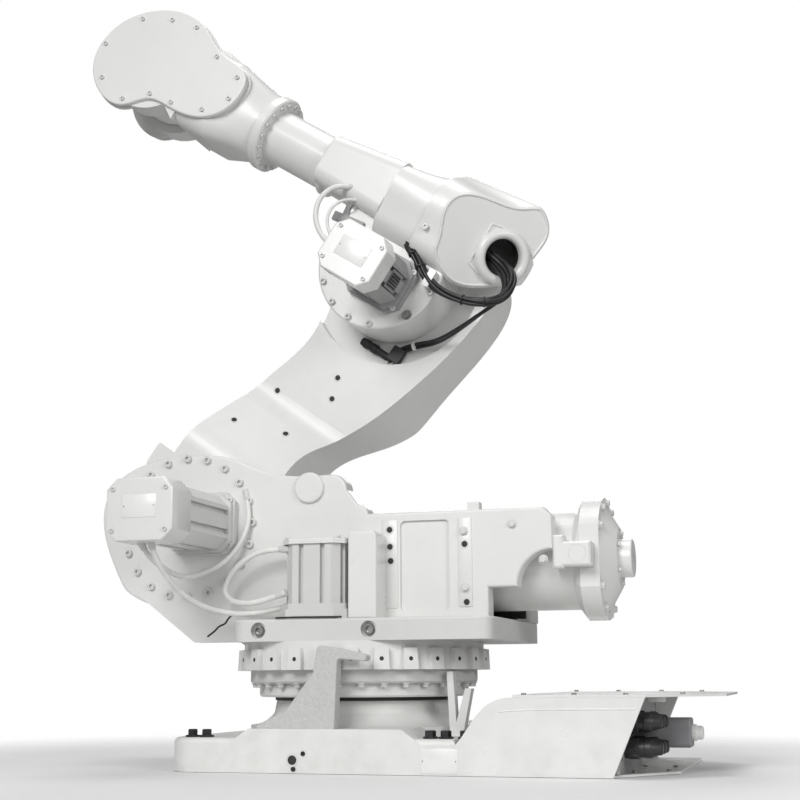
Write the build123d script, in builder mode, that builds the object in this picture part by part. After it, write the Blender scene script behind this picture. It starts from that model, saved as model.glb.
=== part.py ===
from build123d import *
import math
import os

# Industrial robot arm, six axes, standing on its foot.
# X points forward, Y to the robot's left, Z up; the origin is on axis 1 at the floor.

os.makedirs("parts", exist_ok=True)

# Main axes
shoulder_x = 478.0
shoulder_z = 686.0
elbow_x = -85.0
elbow_z = 1478.0
arm_elevation = 33.5
tube_offset = 207.0
wrist_reach = 1060.0
tool_reach = 200.0

# Running and seating gaps
seat_gap = 0.3

# Foot casting
foot_front = 430.0
foot_half_width = 421.0
foot_corner = 70.0
foot_pad_height = 90.0
foot_deck_height = 114.0
foot_deck_front = 190.0
foot_deck_rear = 240.0
foot_deck_slope = 55.0
foot_edge = 14.0
foot_tail_end = 690.0
foot_tail_height = 50.0
bolt_spacing_x = 620.0
bolt_spacing_y = 740.0
rear_bolt_x = 405.0
foundation_hole_radius = 16.0
side_hole_x = 61.0
side_hole_z = 35.0
side_hole_radius = 11.0
side_hole_depth = 24.0
neck_foot_radius = 330.0
neck_waist_radius = 262.0
neck_waist = 150.0
neck_top_radius = 254.0
neck_top = 194.0
neck_curve = 82.0

# Connector box behind the foot
box_start = 384.0
box_wall = 12.0
box_top = 195.0
box_shoulder = 536.0
box_shoulder_rise = 76.0
box_top_end = 871.0
box_bottom_end = 786.0
box_lid_end = 1055.0
box_lid_thickness = 6.0
box_floor_thickness = 6.0
box_floor_end = 930.0
panel_x = 800.0
panel_thickness = 8.0
connector_panel_edge = 6.0
plug_radius = 27.0
plug_length = 104.0
plug_spacing = 64.0
plug_first_y = 344.0
plug_count = 3
plug_rows = 2
plug_base_length = 16.0
plug_base_margin = 14.0
plug_base_corner = 13.0
hood_size_y = 90.0
hood_size_z = 76.0
hood_length = 155.0
hood_y = 130.0
hood_corner = 12.0

# Rings of axis 1
gear_ring_radius = 306.0
gear_ring_height = 38.0
bearing_ring_radius = 333.0
bearing_ring_height = 36.0
turntable_radius = 352.0
turntable_height = 78.0
rib_count = 28
rib_width = 44.0
rib_depth = 18.0
rib_height = 58.0
rib_hole_radius = 6.0
rib_hole_depth = 14.0
rib_taper = 2.8
ring_chamfer = 5.0

# Axis 1 stop bracket and strut bracket on the foot
stop_outer_y = 416.0
stop_thickness = 36.0
stop_foot_front = 168.0
stop_foot_rear = 54.0
stop_top = 333.0
stop_top_front = 6.0
stop_tip_rear = 140.0
stop_tip_height = 28.0
stop_knee_x = 84.0
stop_knee_z = 162.0
stop_edge = 8.0
strut_y = 190.0
strut_front_x = 302.0
strut_rear_x = 372.0
strut_foot_x = 328.0
strut_leg = 18.0
strut_top = 262.0
strut_rear_top = 216.0
strut_depth = 32.0

# Turntable plate
plate_front = 287.0
plate_rear = 461.0
plate_half_width = 330.0
plate_corner = 40.0
plate_thickness = 61.0
plate_edge = 6.0
barrel_pocket_front = 55.0
barrel_pocket_rear = 420.0
barrel_pocket_half_width = 105.0
barrel_pocket_depth = 36.0
barrel_pocket_corner = 18.0
slab_bolt_front = 202.0
slab_bolt_rear = 121.0
slab_bolt_radius = 22.0
slab_bolt_depth = 12.0
far_foot_front = 305.0
far_foot_height = 38.0
far_foot_width = 100.0

# Frame walls
wall_outer = 212.0
wall_thickness = 60.0
wall_edge = 7.0
nose_length = 283.0
nose_height = 215.0
nose_bottom = 350.0
nose_bottom_front = 452.0
nose_chin_x = 702.0
nose_chin_z = 538.0
nose_flank_x = 600.0
nose_flank_z = 463.0
nose_flank_run = 102.0
nose_flank_drop = 38.0
wall_front = 307.0
wall_top = 705.0
hump_front_x = 317.0
hump_front_z = 876.0
hump_step_x = 221.0
hump_step_z = 838.0
hump_end_x = 30.0
hump_end_z = 824.0
hump_foot_x = -52.0
hump_radius = 46.0
hump_foot_radius = 28.0
saddle_top = 648.0
saddle_rear = 320.0
wall_rear = 429.0
ear_bottom = 489.0
ear_rear = 610.0
ear_radius = 100.0
boss_x = 96.0
boss_z = 787.0
boss_radius = 45.0
boss_height = 12.0
panel_front = 177.0
panel_rear = 320.0
panel_bottom = 428.0
panel_top = 680.0
panel_depth = 9.0
panel_corner = 14.0
lug_x = 387.0
lug_width = 34.0
lug_height = 22.0
cross_wall_thickness = 60.0
cross_wall_height = 60.0
cross_wall_x = 120.0

# Shoulder drive
gearbox_radius = 190.0
bolt_circle_radius = 200.0
cover_plate_thickness = 22.0
cover_plate_edge = 5.0
shoulder_motor_x = 424.0
shoulder_motor_z = 692.0
shoulder_motor_width = 196.0
shoulder_motor_height = 170.0
shoulder_motor_length = 425.0
shoulder_cap_length = 120.0

# All servo motors
motor_flange_margin = 6.0
motor_flange_thickness = 26.0
motor_step = 16.0
motor_corner = 30.0
motor_waist = 8.0
motor_groove_width = 14.0
motor_groove_depth = 12.0
motor_groove_share = 0.18
motor_edge = 5.0

# Turning drive of axis 1
base_motor_x = 50.0
base_motor_y = 272.0
base_motor_width = 190.0
base_motor_depth = 104.0
base_motor_height = 224.0
base_cap_length = 16.0
terminal_box_front = -54.0
terminal_box_rear = -136.0
terminal_box_height = 240.0
terminal_box_depth = 96.0
terminal_box_edge = 16.0

# Balancing cylinder
trunnion_x = -678.0
trunnion_z = 574.0
trunnion_radius = 24.0
bearing_flange_rear = 640.0
bearing_flange_bottom = 536.0
bearing_flange_top = 626.0
bearing_block_rear = 714.0
bearing_block_half = 33.0
barrel_rear = 652.0
barrel_radius = 142.0
barrel_wall = 14.0
barrel_front = 80.0
cover_radius = 173.0
cover_length = 76.0
cover_lead = 22.0
cover_half_width = 150.0
cover_cone_length = 39.0
cover_cone_radius = 86.0
cover_boss_length = 36.0
cover_boss_radius = 54.0
cover_port_radius = 15.0
cover_port_depth = 14.0
rod_radius = 24.0
rod_eye_radius = 46.0
rod_eye_width = 56.0
rod_pin_radius = 190.0
rod_pin_direction = 217.0
rod_pin_size = 26.0
rod_length = 640.0
rod_root = 4.0

# Lower arm
arm_near_foot = 100.0
arm_far_foot = -135.0
arm_near_head = -60.0
arm_far_head = -250.0
arm_near_bend_start = 230.0
arm_near_bend_end = 430.0
arm_far_bend_start = 300.0
arm_far_bend_end = 600.0
arm_foot_radius = 238.0
shank_start = 225.0
shank_front = 230.0
knee_place = 484.0
knee_front = 185.0
waist_place = 690.0
waist_front = 135.0
head_front = 180.0
head_tip_place = 1172.0
head_tip_across = 110.0
head_back_place = 1130.0
head_back_across = 290.0
crown_place = 940.0
crown_rear = 322.0
calf_place = 726.0
calf_rear = 292.0
bow_place = 517.0
bow_rear = 251.0
ankle_place = 362.0
ankle_rear = 172.0
ankle_near_step = 112.0
bow_near_step = 138.0
calf_near_step = 66.0
crown_near_step = 34.0
foot_rear_place = 130.0
foot_rear = 218.0
rod_slot_half_width = 38.0
rod_slot_start = 120.0
rod_slot_half_length = 320.0
rod_slot_depth = 300.0
arm_bend_radius = 120.0
pin_inset = 10.0
arm_edge = 12.0
arm_lug_place = 98.0
arm_lug_across = 262.0
arm_lug_length = 84.0
arm_lug_width = 70.0
arm_lug_thickness = 40.0
elbow_recess_radius = 277.0
elbow_recess_depth = 32.0
arm_block_place = 772.0
arm_block_across = 138.0
arm_block_length = 48.0
arm_block_width = 40.0
arm_block_depth = 28.0
arm_block_corner = 6.0
arm_plug_place = 750.0
arm_plug_end = 20.0
arm_plug_radius = 12.0

# Upper arm
hub_radius = 202.0
hub_near = 100.0
hub_edge = 6.0
housing_far = -50.0
housing_front = 345.0
housing_neck = 84.0
housing_rear = -60.0
housing_front_near = 140.0
housing_front_bottom = 124.0
housing_front_top = 286.0
housing_neck_near = 150.0
housing_neck_bottom = 112.0
housing_neck_top = 312.0
housing_corner = 42.0
housing_edge = 8.0
drum_inset = 7.0
drum_bottom = 76.0
cap_near_t = -125.0
cap_near_y = 157.0
cap_far_t = -383.0
cap_far_y = -50.0
cap_depth = 280.0
cap_rim = 9.0
cap_side_y = 157.0
cap_side_n = 184.0
cap_shoulder_y = 116.0
cap_shoulder_n = 332.0
cap_saddle_y = 36.0
cap_saddle_n = 368.0
cap_lobe_y = 2.0
cap_lobe_n = 408.0
cap_crest_y = -38.0
cap_crest_n = 372.0
cap_far_side_y = -49.0
cap_waist_n = 290.0
cap_heel_y = -32.0
cap_heel_n = 172.0
cap_knee_y = 22.0
cap_knee_n = 88.0
cap_bottom_y = 78.0
cap_bottom_n = 60.0
cap_middle_lobe = 0.72
cap_corner_y = 136.0
cap_corner_n = 100.0
elbow_motor_t = -34.0
elbow_motor_n = -36.0
elbow_motor_width = 186.0
elbow_motor_height = 160.0
elbow_motor_length = 290.0
elbow_cap_length = 80.0
cable_hole_radius = 60.0
collar_radius = 80.0
collar_y = 30.0
collar_start = -230.0
collar_end = -372.0
collar_edge = 8.0

# Tube and wrist
tube_radius = 86.0
tube_end = 588.0
front_ring_radius = 98.0
front_ring_length = 20.0
wrist_ring_radius = 126.0
wrist_ring_length = 30.0
wrist_collar_radius = 112.0
wrist_body_start = 770.0
wrist_body_half = 138.0
wrist_body_corner = 60.0
wrist_web_end = 900.0
wrist_shoulder = 880.0
cheek_radius = 166.0
cheek_outer = 150.0
cheek_flange = 24.0
cheek_inner = 74.0
wrist_cover_thickness = 14.0
cover_inset = 7.0
cover_front_radius = 195.0
cover_front_n = 180.0
cover_crown_back = 110.0
cover_crown_rise = 152.0
cover_chin_drop = 152.0
cover_jaw_out = 136.0
cover_jaw_drop = 130.0
cheek_join_angle = 40.0
wrist_cover_edge = 5.0
cover_crown_t = 960.0
cover_crown_n = 388.0
cover_saddle_t = 826.0
cover_saddle_n = 330.0
cover_corner_t = 712.0
cover_corner_n = 300.0
cover_rear_t = 700.0
cover_rear_n = 218.0
cover_heel_t = 765.0
cover_heel_n = 126.0
cover_sole_t = 900.0
cover_sole_n = 97.0
cover_chin_t = 985.0
cover_chin_n = 88.0
tilt_radius = 138.0
tilt_half_width = 66.0
tilt_journal_radius = 76.0
tool_flange_radius = 118.0
tool_flange_thickness = 26.0
tool_bolt_circle = 84.0
tool_bolt_radius = 6.0
tool_bolt_count = 12
tool_centre_radius = 40.0

# Cables and the clamp of the elbow harness
harness_radius = 11.0
cable_radius = 8.0
cable_arc_share = 0.45
clamp_t = -171.0
clamp_n = 34.0
clamp_length = 22.0
clamp_height = 56.0
clamp_depth = 34.0
clamp_corner = 6.0

arm_cos = math.cos(math.radians(arm_elevation))
arm_sin = math.sin(math.radians(arm_elevation))
arm_axis = Axis((0, 0, 0), (arm_cos, 0, arm_sin))
gear_ring_top = neck_top + gear_ring_height
bearing_ring_top = gear_ring_top + bearing_ring_height
turntable_bottom = bearing_ring_top + seat_gap
turntable_top = turntable_bottom + turntable_height
plate_top = turntable_top + plate_thickness
wall_inner = wall_outer - wall_thickness
arm_length = math.hypot(elbow_x - shoulder_x, elbow_z - shoulder_z)


def side(y):
    # Side view plane at a given Y: sketch right is X, sketch up is Z, and it extrudes toward -Y
    return Plane(origin=(0, y, 0), x_dir=(1, 0, 0), z_dir=(0, -1, 0))


def shoulder_side(y):
    return Plane(origin=(shoulder_x, y, shoulder_z), x_dir=(1, 0, 0), z_dir=(0, -1, 0))


def lower_side(y):
    # Side plane of the lower arm: right runs from shoulder to elbow, up is its rear side
    along = ((elbow_x - shoulder_x) / arm_length, 0, (elbow_z - shoulder_z) / arm_length)
    return Plane(origin=(shoulder_x, y, shoulder_z), x_dir=along, z_dir=(0, -1, 0))


def upper_side(y):
    # Side plane of the upper arm: right runs along the arm from the elbow, up is its upper side
    return Plane(origin=(elbow_x, y, elbow_z), x_dir=(arm_cos, 0, arm_sin), z_dir=(0, -1, 0))


def upper_section(t):
    # Cross-section of the upper arm at distance t, centred on the tube; right is Y
    x = elbow_x + t * arm_cos - tube_offset * arm_sin
    z = elbow_z + t * arm_sin + tube_offset * arm_cos
    return Plane(origin=(x, 0, z), x_dir=(0, 1, 0), z_dir=(arm_cos, 0, arm_sin))


def save(part, name):
    part.label = name
    export_step(part, f"parts/{name}.step")


# Foot casting: pads for the bolts, raised deck, narrow tail inside the connector box, flared neck
with BuildPart() as base_casting:
    with BuildSketch():
        with Locations(((foot_front - box_start) / 2, 0)):
            Rectangle(foot_front + box_start, 2 * foot_half_width)
        fillet(vertices().group_by(Axis.X)[-1], foot_corner)
    extrude(amount=foot_pad_height)
    fillet(base_casting.faces().sort_by(Axis.Z)[-1].edges(), foot_edge)
    with BuildSketch(side(foot_half_width)):
        with BuildLine():
            Polyline(
                (foot_deck_front + foot_deck_slope, foot_pad_height - foot_edge),
                (foot_deck_front, foot_deck_height),
                (-foot_deck_rear, foot_deck_height),
                (-foot_deck_rear - foot_deck_slope, foot_pad_height - foot_edge),
                close=True,
            )
        make_face()
    extrude(amount=2 * foot_half_width)
    with BuildSketch():
        with Locations((-(box_start + foot_tail_end) / 2, 0)):
            Rectangle(foot_tail_end - box_start, 2 * (foot_half_width - box_wall - seat_gap))
    extrude(amount=foot_tail_height)
    with BuildSketch(Plane.XZ):
        with BuildLine():
            Polyline(
                (neck_waist_radius, neck_waist),
                (neck_top_radius, neck_top),
                (0, neck_top),
                (0, foot_pad_height),
                (neck_foot_radius, foot_pad_height),
                (neck_foot_radius, foot_deck_height),
            )
            RadiusArc((neck_foot_radius, foot_deck_height), (neck_waist_radius, neck_waist), neck_curve)
        make_face()
    revolve(axis=Axis.Z)
    with GridLocations(bolt_spacing_x, bolt_spacing_y, 2, 2):
        Hole(foundation_hole_radius)
    with Locations((-rear_bolt_x, bolt_spacing_y / 2), (-rear_bolt_x, -bolt_spacing_y / 2)):
        Hole(foundation_hole_radius)
    with BuildSketch(side(foot_half_width)):
        with Locations((side_hole_x, side_hole_z)):
            Circle(side_hole_radius)
    extrude(amount=side_hole_depth, mode=Mode.SUBTRACT)
save(base_casting.part, "base_casting")

# Connector box: two folded side walls, floor, lid, connector wall and what is plugged into it
for name, y in (
    ("connector_box_wall_left", foot_half_width),
    ("connector_box_wall_right", box_wall - foot_half_width),
):
    with BuildPart() as box_side:
        with BuildSketch(side(y)):
            with BuildLine():
                Line((-box_start - seat_gap, 0), (-box_start - seat_gap, box_shoulder_rise))
                Spline(
                    (-box_start - seat_gap, box_shoulder_rise),
                    (-box_shoulder, box_top),
                    tangents=((-1, 1), (-1, 0)),
                )
                Polyline(
                    (-box_shoulder, box_top),
                    (-box_top_end, box_top),
                    (-box_bottom_end, 0),
                    (-box_start - seat_gap, 0),
                )
            make_face()
        extrude(amount=box_wall)
    save(box_side.part, name)

with BuildPart() as box_lid:
    with BuildSketch(Plane.XY.offset(box_top + seat_gap)):
        with BuildLine():
            Polyline(
                (-box_shoulder, foot_half_width),
                (-box_top_end, foot_half_width),
                (-box_lid_end, foot_half_width - box_top),
                (-box_lid_end, box_top - foot_half_width),
                (-box_top_end, -foot_half_width),
                (-box_shoulder, -foot_half_width),
                close=True,
            )
        make_face()
    extrude(amount=box_lid_thickness)
save(box_lid.part, "connector_box_lid")

box_inner = foot_half_width - box_wall - seat_gap
with BuildPart() as box_floor:
    with BuildSketch():
        with BuildLine():
            Polyline(
                (-foot_tail_end - seat_gap, box_inner),
                (-box_bottom_end, box_inner),
                (-box_floor_end, box_inner - box_top),
                (-box_floor_end, -box_inner),
                (-foot_tail_end - seat_gap, -box_inner),
                close=True,
            )
        make_face()
    extrude(amount=box_floor_thickness)
save(box_floor.part, "connector_box_floor")

with BuildPart() as box_panel:
    with BuildSketch(Plane.YZ.offset(-panel_x)):
        with Locations((0, (box_floor_thickness + seat_gap + box_top) / 2)):
            Rectangle(2 * box_inner, box_top - box_floor_thickness - seat_gap)
    extrude(amount=panel_thickness)
    fillet(box_panel.edges().filter_by(Axis.X), connector_panel_edge)
save(box_panel.part, "connector_panel")

panel_middle = (box_floor_thickness + box_top) / 2
panel_face = Plane(origin=(-panel_x - seat_gap, 0, panel_middle), x_dir=(0, -1, 0), z_dir=(-1, 0, 0))
with BuildPart() as plugs:
    with BuildSketch(panel_face):
        with Locations((plug_spacing - plug_first_y, 0)):
            with GridLocations(plug_spacing, plug_spacing, plug_count, plug_rows):
                Circle(plug_radius)
    extrude(amount=plug_length)
    chamfer(plugs.faces().sort_by(Axis.X)[0 : plug_count * plug_rows].edges(), ring_chamfer)
    with BuildSketch(panel_face):
        with Locations((plug_spacing - plug_first_y, 0)):
            RectangleRounded(
                plug_count * plug_spacing + plug_base_margin,
                plug_rows * plug_spacing + plug_base_margin,
                plug_base_corner,
            )
    extrude(amount=plug_base_length)
save(plugs.part, "signal_connectors")

with BuildPart() as hood:
    with BuildSketch(panel_face):
        with Locations((-hood_y, 0)):
            RectangleRounded(hood_size_y, hood_size_z, hood_corner)
    extrude(amount=hood_length)
    fillet(hood.faces().sort_by(Axis.X)[0].edges(), motor_edge)
save(hood.part, "power_connector_hood")

# Rings of axis 1
with BuildPart() as gear_ring:
    with BuildSketch(Plane.XY.offset(neck_top)):
        Circle(gear_ring_radius)
    extrude(amount=gear_ring_height)
    chamfer(gear_ring.faces().sort_by(Axis.Z)[0].edges(), ring_chamfer)
save(gear_ring.part, "axis_1_gear_ring")

with BuildPart() as bearing_ring:
    with BuildSketch(Plane.XY.offset(gear_ring_top)):
        Circle(bearing_ring_radius)
    extrude(amount=bearing_ring_height)
    chamfer(bearing_ring.faces().sort_by(Axis.Z)[0].edges(), ring_chamfer)
save(bearing_ring.part, "axis_1_bearing_ring")

with BuildPart() as turntable_ring:
    with BuildSketch(Plane.XY.offset(turntable_bottom)):
        Circle(turntable_radius)
    extrude(amount=turntable_height)
    with BuildSketch(Plane.XY.offset(turntable_bottom)):
        with PolarLocations(turntable_radius, rib_count):
            Rectangle(2 * rib_depth, rib_width)
    extrude(amount=rib_height, taper=rib_taper)
    rib_hole_z = turntable_bottom + rib_height / 2
    with PolarLocations(turntable_radius + rib_depth, rib_count):
        with Locations(Location((0, 0, rib_hole_z), (0, 90, 0))):
            Cylinder(rib_hole_radius, 2 * rib_hole_depth, mode=Mode.SUBTRACT)
save(turntable_ring.part, "turntable_ring")

with BuildPart() as stop_bracket:
    with BuildSketch(side(stop_outer_y)):
        with BuildLine():
            Polyline(
                (-stop_foot_rear, foot_deck_height),
                (-stop_foot_rear - stop_edge, bearing_ring_top + stop_tip_height),
                (-stop_tip_rear, stop_top - 2 * stop_edge - stop_tip_height),
                (-stop_tip_rear - stop_edge, stop_top - stop_tip_height),
                (-stop_foot_rear, stop_top - stop_edge),
                (-stop_top_front, stop_top),
                (stop_edge, gear_ring_top + stop_tip_height),
                (stop_knee_x, stop_knee_z),
                (stop_foot_front, foot_deck_height + stop_edge),
                (stop_foot_front, foot_deck_height),
                close=True,
            )
        make_face()
        fillet(vertices().sort_by(Axis.Y)[-4:], stop_edge)
    extrude(amount=stop_thickness)
    fillet(stop_bracket.faces().sort_by(Axis.Y)[-1].edges().sort_by(Axis.Z)[1:], motor_edge)
save(stop_bracket.part, "stop_bracket")

with BuildPart() as strut_bracket:
    with BuildSketch(side(strut_y)):
        with BuildLine():
            Polyline(
                (-strut_front_x, strut_top),
                (-strut_front_x - strut_leg, strut_top),
                (-strut_foot_x, foot_pad_height + 2 * strut_leg),
                (strut_leg - strut_rear_x, strut_rear_top),
                (-strut_rear_x, strut_rear_top),
                (-strut_foot_x - strut_leg, foot_pad_height),
                (strut_leg - strut_foot_x, foot_pad_height),
                close=True,
            )
        make_face()
    extrude(amount=strut_depth)
save(strut_bracket.part, "strut_bracket")

# Turntable plate: pocket under the balancer, recessed bolt seats in its edges, raised far corner
with BuildPart() as turntable_plate:
    with BuildSketch(Plane.XY.offset(turntable_top)):
        with Locations(((plate_front - plate_rear) / 2, 0)):
            RectangleRounded(plate_front + plate_rear, 2 * plate_half_width, plate_corner)
    extrude(amount=plate_thickness)
    fillet(turntable_plate.faces().sort_by(Axis.Z)[-1].edges(), plate_edge)
    with BuildSketch(Plane.XY.offset(plate_top)):
        with Locations((-(barrel_pocket_front + barrel_pocket_rear) / 2, 0)):
            RectangleRounded(
                barrel_pocket_rear - barrel_pocket_front,
                2 * barrel_pocket_half_width,
                barrel_pocket_corner,
            )
    extrude(amount=-barrel_pocket_depth, mode=Mode.SUBTRACT)
    with BuildSketch(side(plate_half_width)):
        with Locations((slab_bolt_front, turntable_top + plate_thickness / 2)):
            Circle(slab_bolt_radius)
        with Locations((-slab_bolt_rear, turntable_top + plate_thickness / 2)):
            Circle(slab_bolt_radius)
    extrude(amount=slab_bolt_depth, mode=Mode.SUBTRACT)
    with BuildSketch(Plane.XY.offset(plate_top)):
        with Locations((-(far_foot_front + plate_rear) / 2, far_foot_width / 2 - plate_half_width)):
            RectangleRounded(plate_rear - far_foot_front, far_foot_width, far_foot_height / 2)
    extrude(amount=far_foot_height)
save(turntable_plate.part, "turntable_plate")


def wall_front_and_ear():
    # The line of a side wall from the top of its nose, down round the front, to the top of the rear ear
    Spline(
        (shoulder_x, shoulder_z + nose_height),
        (shoulder_x + nose_length, shoulder_z),
        (nose_chin_x, nose_chin_z),
        (nose_flank_x, nose_flank_z),
        tangents=((1, 0), (-nose_flank_run, -nose_flank_drop)),
    )
    Polyline(
        (nose_flank_x, nose_flank_z),
        (nose_bottom_front, nose_bottom),
        (wall_front, nose_bottom),
        (wall_front, plate_top),
        (-wall_rear, plate_top),
        (-wall_rear, ear_bottom),
        (ear_radius - ear_rear, ear_bottom),
    )
    RadiusArc((ear_radius - ear_rear, ear_bottom), (-ear_rear, ear_bottom + ear_radius), -ear_radius)
    Polyline(
        (-ear_rear, ear_bottom + ear_radius),
        (-ear_rear, wall_top - trunnion_radius),
        (trunnion_radius - ear_rear, wall_top),
    )


def round_top_edges(wall, outer_y):
    # Rounds the outer edges of a wall face, all but those on the plate
    rim = wall.faces().sort_by(Axis.Y)[-1 if outer_y > 0 else 0].edges()
    fillet(rim.filter_by(lambda edge: edge.center().Z > plate_top + wall_edge), wall_edge)


with BuildPart() as left_wall:
    with BuildSketch(side(wall_outer)):
        with BuildLine():
            wall_front_and_ear()
            Polyline(
                (trunnion_radius - ear_rear, wall_top),
                (hump_foot_x - hump_foot_radius, wall_top),
            )
            RadiusArc(
                (hump_foot_x - hump_foot_radius, wall_top),
                (hump_foot_x, wall_top + hump_foot_radius),
                hump_foot_radius,
            )
            Line(
                (hump_foot_x, wall_top + hump_foot_radius),
                (hump_end_x - hump_radius, hump_end_z - hump_radius),
            )
            RadiusArc(
                (hump_end_x - hump_radius, hump_end_z - hump_radius), (hump_end_x, hump_end_z), hump_radius
            )
            Spline(
                (hump_end_x, hump_end_z),
                (hump_step_x, hump_step_z),
                (hump_front_x, hump_front_z),
                (shoulder_x, shoulder_z + nose_height),
                tangents=((1, 0), (1, 0)),
            )
        make_face()
    extrude(amount=wall_thickness)
    round_top_edges(left_wall, wall_outer)
    with BuildSketch(side(wall_outer)):
        with Locations((-(panel_front + panel_rear) / 2, (panel_bottom + panel_top) / 2)):
            RectangleRounded(panel_rear - panel_front, panel_top - panel_bottom, panel_corner)
    extrude(amount=panel_depth, mode=Mode.SUBTRACT)
    with BuildSketch(side(wall_outer + boss_height)):
        with Locations((boss_x, boss_z)):
            Circle(boss_radius)
    extrude(amount=boss_height)
    fillet(left_wall.faces().sort_by(Axis.Y)[-1].edges(), boss_height / 2)
    with BuildSketch(Plane.XY.offset(wall_top)):
        with Locations((-lug_x, wall_outer - wall_thickness / 2)):
            Rectangle(lug_width, lug_width)
    extrude(amount=lug_height)
save(left_wall.part, "frame_wall_left")

with BuildPart() as right_wall:
    with BuildSketch(side(-wall_inner)):
        with BuildLine():
            wall_front_and_ear()
            Polyline(
                (trunnion_radius - ear_rear, wall_top),
                (-saddle_rear - hump_radius, wall_top),
                (-saddle_rear, saddle_top),
                (shoulder_x - nose_length, saddle_top),
                (shoulder_x - nose_length, shoulder_z),
            )
            Spline(
                (shoulder_x - nose_length, shoulder_z),
                (shoulder_x, shoulder_z + nose_height),
                tangents=((0, 1), (1, 0)),
            )
        make_face()
    extrude(amount=wall_thickness)
save(right_wall.part, "frame_wall_right")

for name, y in (("trunnion_bearing_left", wall_outer), ("trunnion_bearing_right", -wall_inner)):
    with BuildPart() as bearing:
        with BuildSketch(side(y)):
            with BuildLine():
                Polyline(
                    (-ear_rear - seat_gap, bearing_flange_bottom),
                    (-bearing_flange_rear, bearing_flange_bottom),
                    (-bearing_flange_rear, trunnion_z - bearing_block_half),
                    (-bearing_block_rear, trunnion_z - bearing_block_half),
                    (-bearing_block_rear, trunnion_z + bearing_block_half),
                    (-bearing_flange_rear, trunnion_z + bearing_block_half),
                    (-bearing_flange_rear, bearing_flange_top),
                    (-ear_rear - seat_gap, bearing_flange_top),
                    close=True,
                )
            make_face()
            with Locations((trunnion_x, trunnion_z)):
                Circle(trunnion_radius + seat_gap, mode=Mode.SUBTRACT)
        extrude(amount=wall_thickness)
        chamfer(bearing.faces().sort_by(Axis.Y)[-1].edges().filter_by(GeomType.LINE), ring_chamfer)
    save(bearing.part, name)

with BuildPart() as cross_wall:
    with BuildSketch(Plane.XY.offset(plate_top)):
        with Locations((cross_wall_x, 0)):
            Rectangle(cross_wall_thickness, 2 * wall_inner)
    extrude(amount=cross_wall_height)
save(cross_wall.part, "frame_cross_wall")

# Shoulder drive
with BuildPart() as shoulder_gearbox:
    with BuildSketch(shoulder_side(wall_inner)):
        Circle(gearbox_radius)
    extrude(amount=wall_inner - arm_near_foot - seat_gap)
save(shoulder_gearbox.part, "axis_2_gearbox")

with BuildPart() as shoulder_bearing:
    with BuildSketch(shoulder_side(arm_far_foot - seat_gap)):
        Circle(gearbox_radius)
    extrude(amount=wall_inner + arm_far_foot - seat_gap)
save(shoulder_bearing.part, "axis_2_bearing")

with BuildPart() as shoulder_cover:
    with BuildSketch(shoulder_side(-wall_outer)):
        Circle(bolt_circle_radius + cover_plate_thickness)
    extrude(amount=cover_plate_thickness)
    fillet(shoulder_cover.faces().sort_by(Axis.Y)[0].edges(), cover_plate_edge)
save(shoulder_cover.part, "axis_2_bearing_cover")


def groove_places(width, height):
    # Middle points of the eight grooves along a motor body, two a side, with their turn
    places = []
    for turn in range(0, 360, 90):
        reach = width / 2 if turn % 180 == 0 else height / 2
        across = height if turn % 180 == 0 else width
        for shift in (-motor_groove_share * across, motor_groove_share * across):
            angle = math.radians(turn)
            x = reach * math.cos(angle) - shift * math.sin(angle)
            y = reach * math.sin(angle) + shift * math.cos(angle)
            places.append(Location((x, y), turn))
    return places


def motor(plane, width, height, length, cap_length):
    # Servo motor: flange, step and grooved body with cut corners; the cap is a piece of its own
    with BuildPart() as body:
        with BuildSketch(plane):
            Rectangle(width + 2 * motor_flange_margin, height + 2 * motor_flange_margin)
            chamfer(vertices(), motor_corner)
        extrude(amount=motor_flange_thickness)
        with BuildSketch(plane.offset(motor_flange_thickness)):
            Rectangle(width, height)
            chamfer(vertices(), motor_corner)
        extrude(amount=motor_step)
        with BuildSketch(plane.offset(motor_flange_thickness + motor_step)):
            Rectangle(width - 2 * motor_waist, height - 2 * motor_waist)
            chamfer(vertices(), motor_corner)
            with Locations(*groove_places(width - 2 * motor_waist, height - 2 * motor_waist)):
                Rectangle(2 * motor_groove_depth, motor_groove_width, mode=Mode.SUBTRACT)
        extrude(amount=length - motor_flange_thickness - motor_step - cap_length)
    with BuildPart() as cap:
        with BuildSketch(plane.offset(length - cap_length)):
            Rectangle(width, height)
            chamfer(vertices(), motor_corner)
        extrude(amount=cap_length)
        fillet(cap.faces().sort_by(Axis(plane.origin, plane.z_dir))[-1].edges(), motor_edge)
    return body.part, cap.part


shoulder_motor_plane = Plane(
    origin=(shoulder_motor_x, wall_outer, shoulder_motor_z), x_dir=(-1, 0, 0), z_dir=(0, 1, 0)
)
motor_body, motor_cap = motor(
    shoulder_motor_plane,
    shoulder_motor_width,
    shoulder_motor_height,
    shoulder_motor_length,
    shoulder_cap_length,
)
save(motor_body, "axis_2_motor")
save(motor_cap, "axis_2_motor_cap")

base_motor_plane = Plane(origin=(base_motor_x, base_motor_y, plate_top), x_dir=(1, 0, 0), z_dir=(0, 0, 1))
motor_body, motor_cap = motor(
    base_motor_plane, base_motor_width, base_motor_depth, base_motor_height, base_cap_length
)
save(motor_body, "axis_1_motor")
save(motor_cap, "axis_1_motor_cap")

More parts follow.
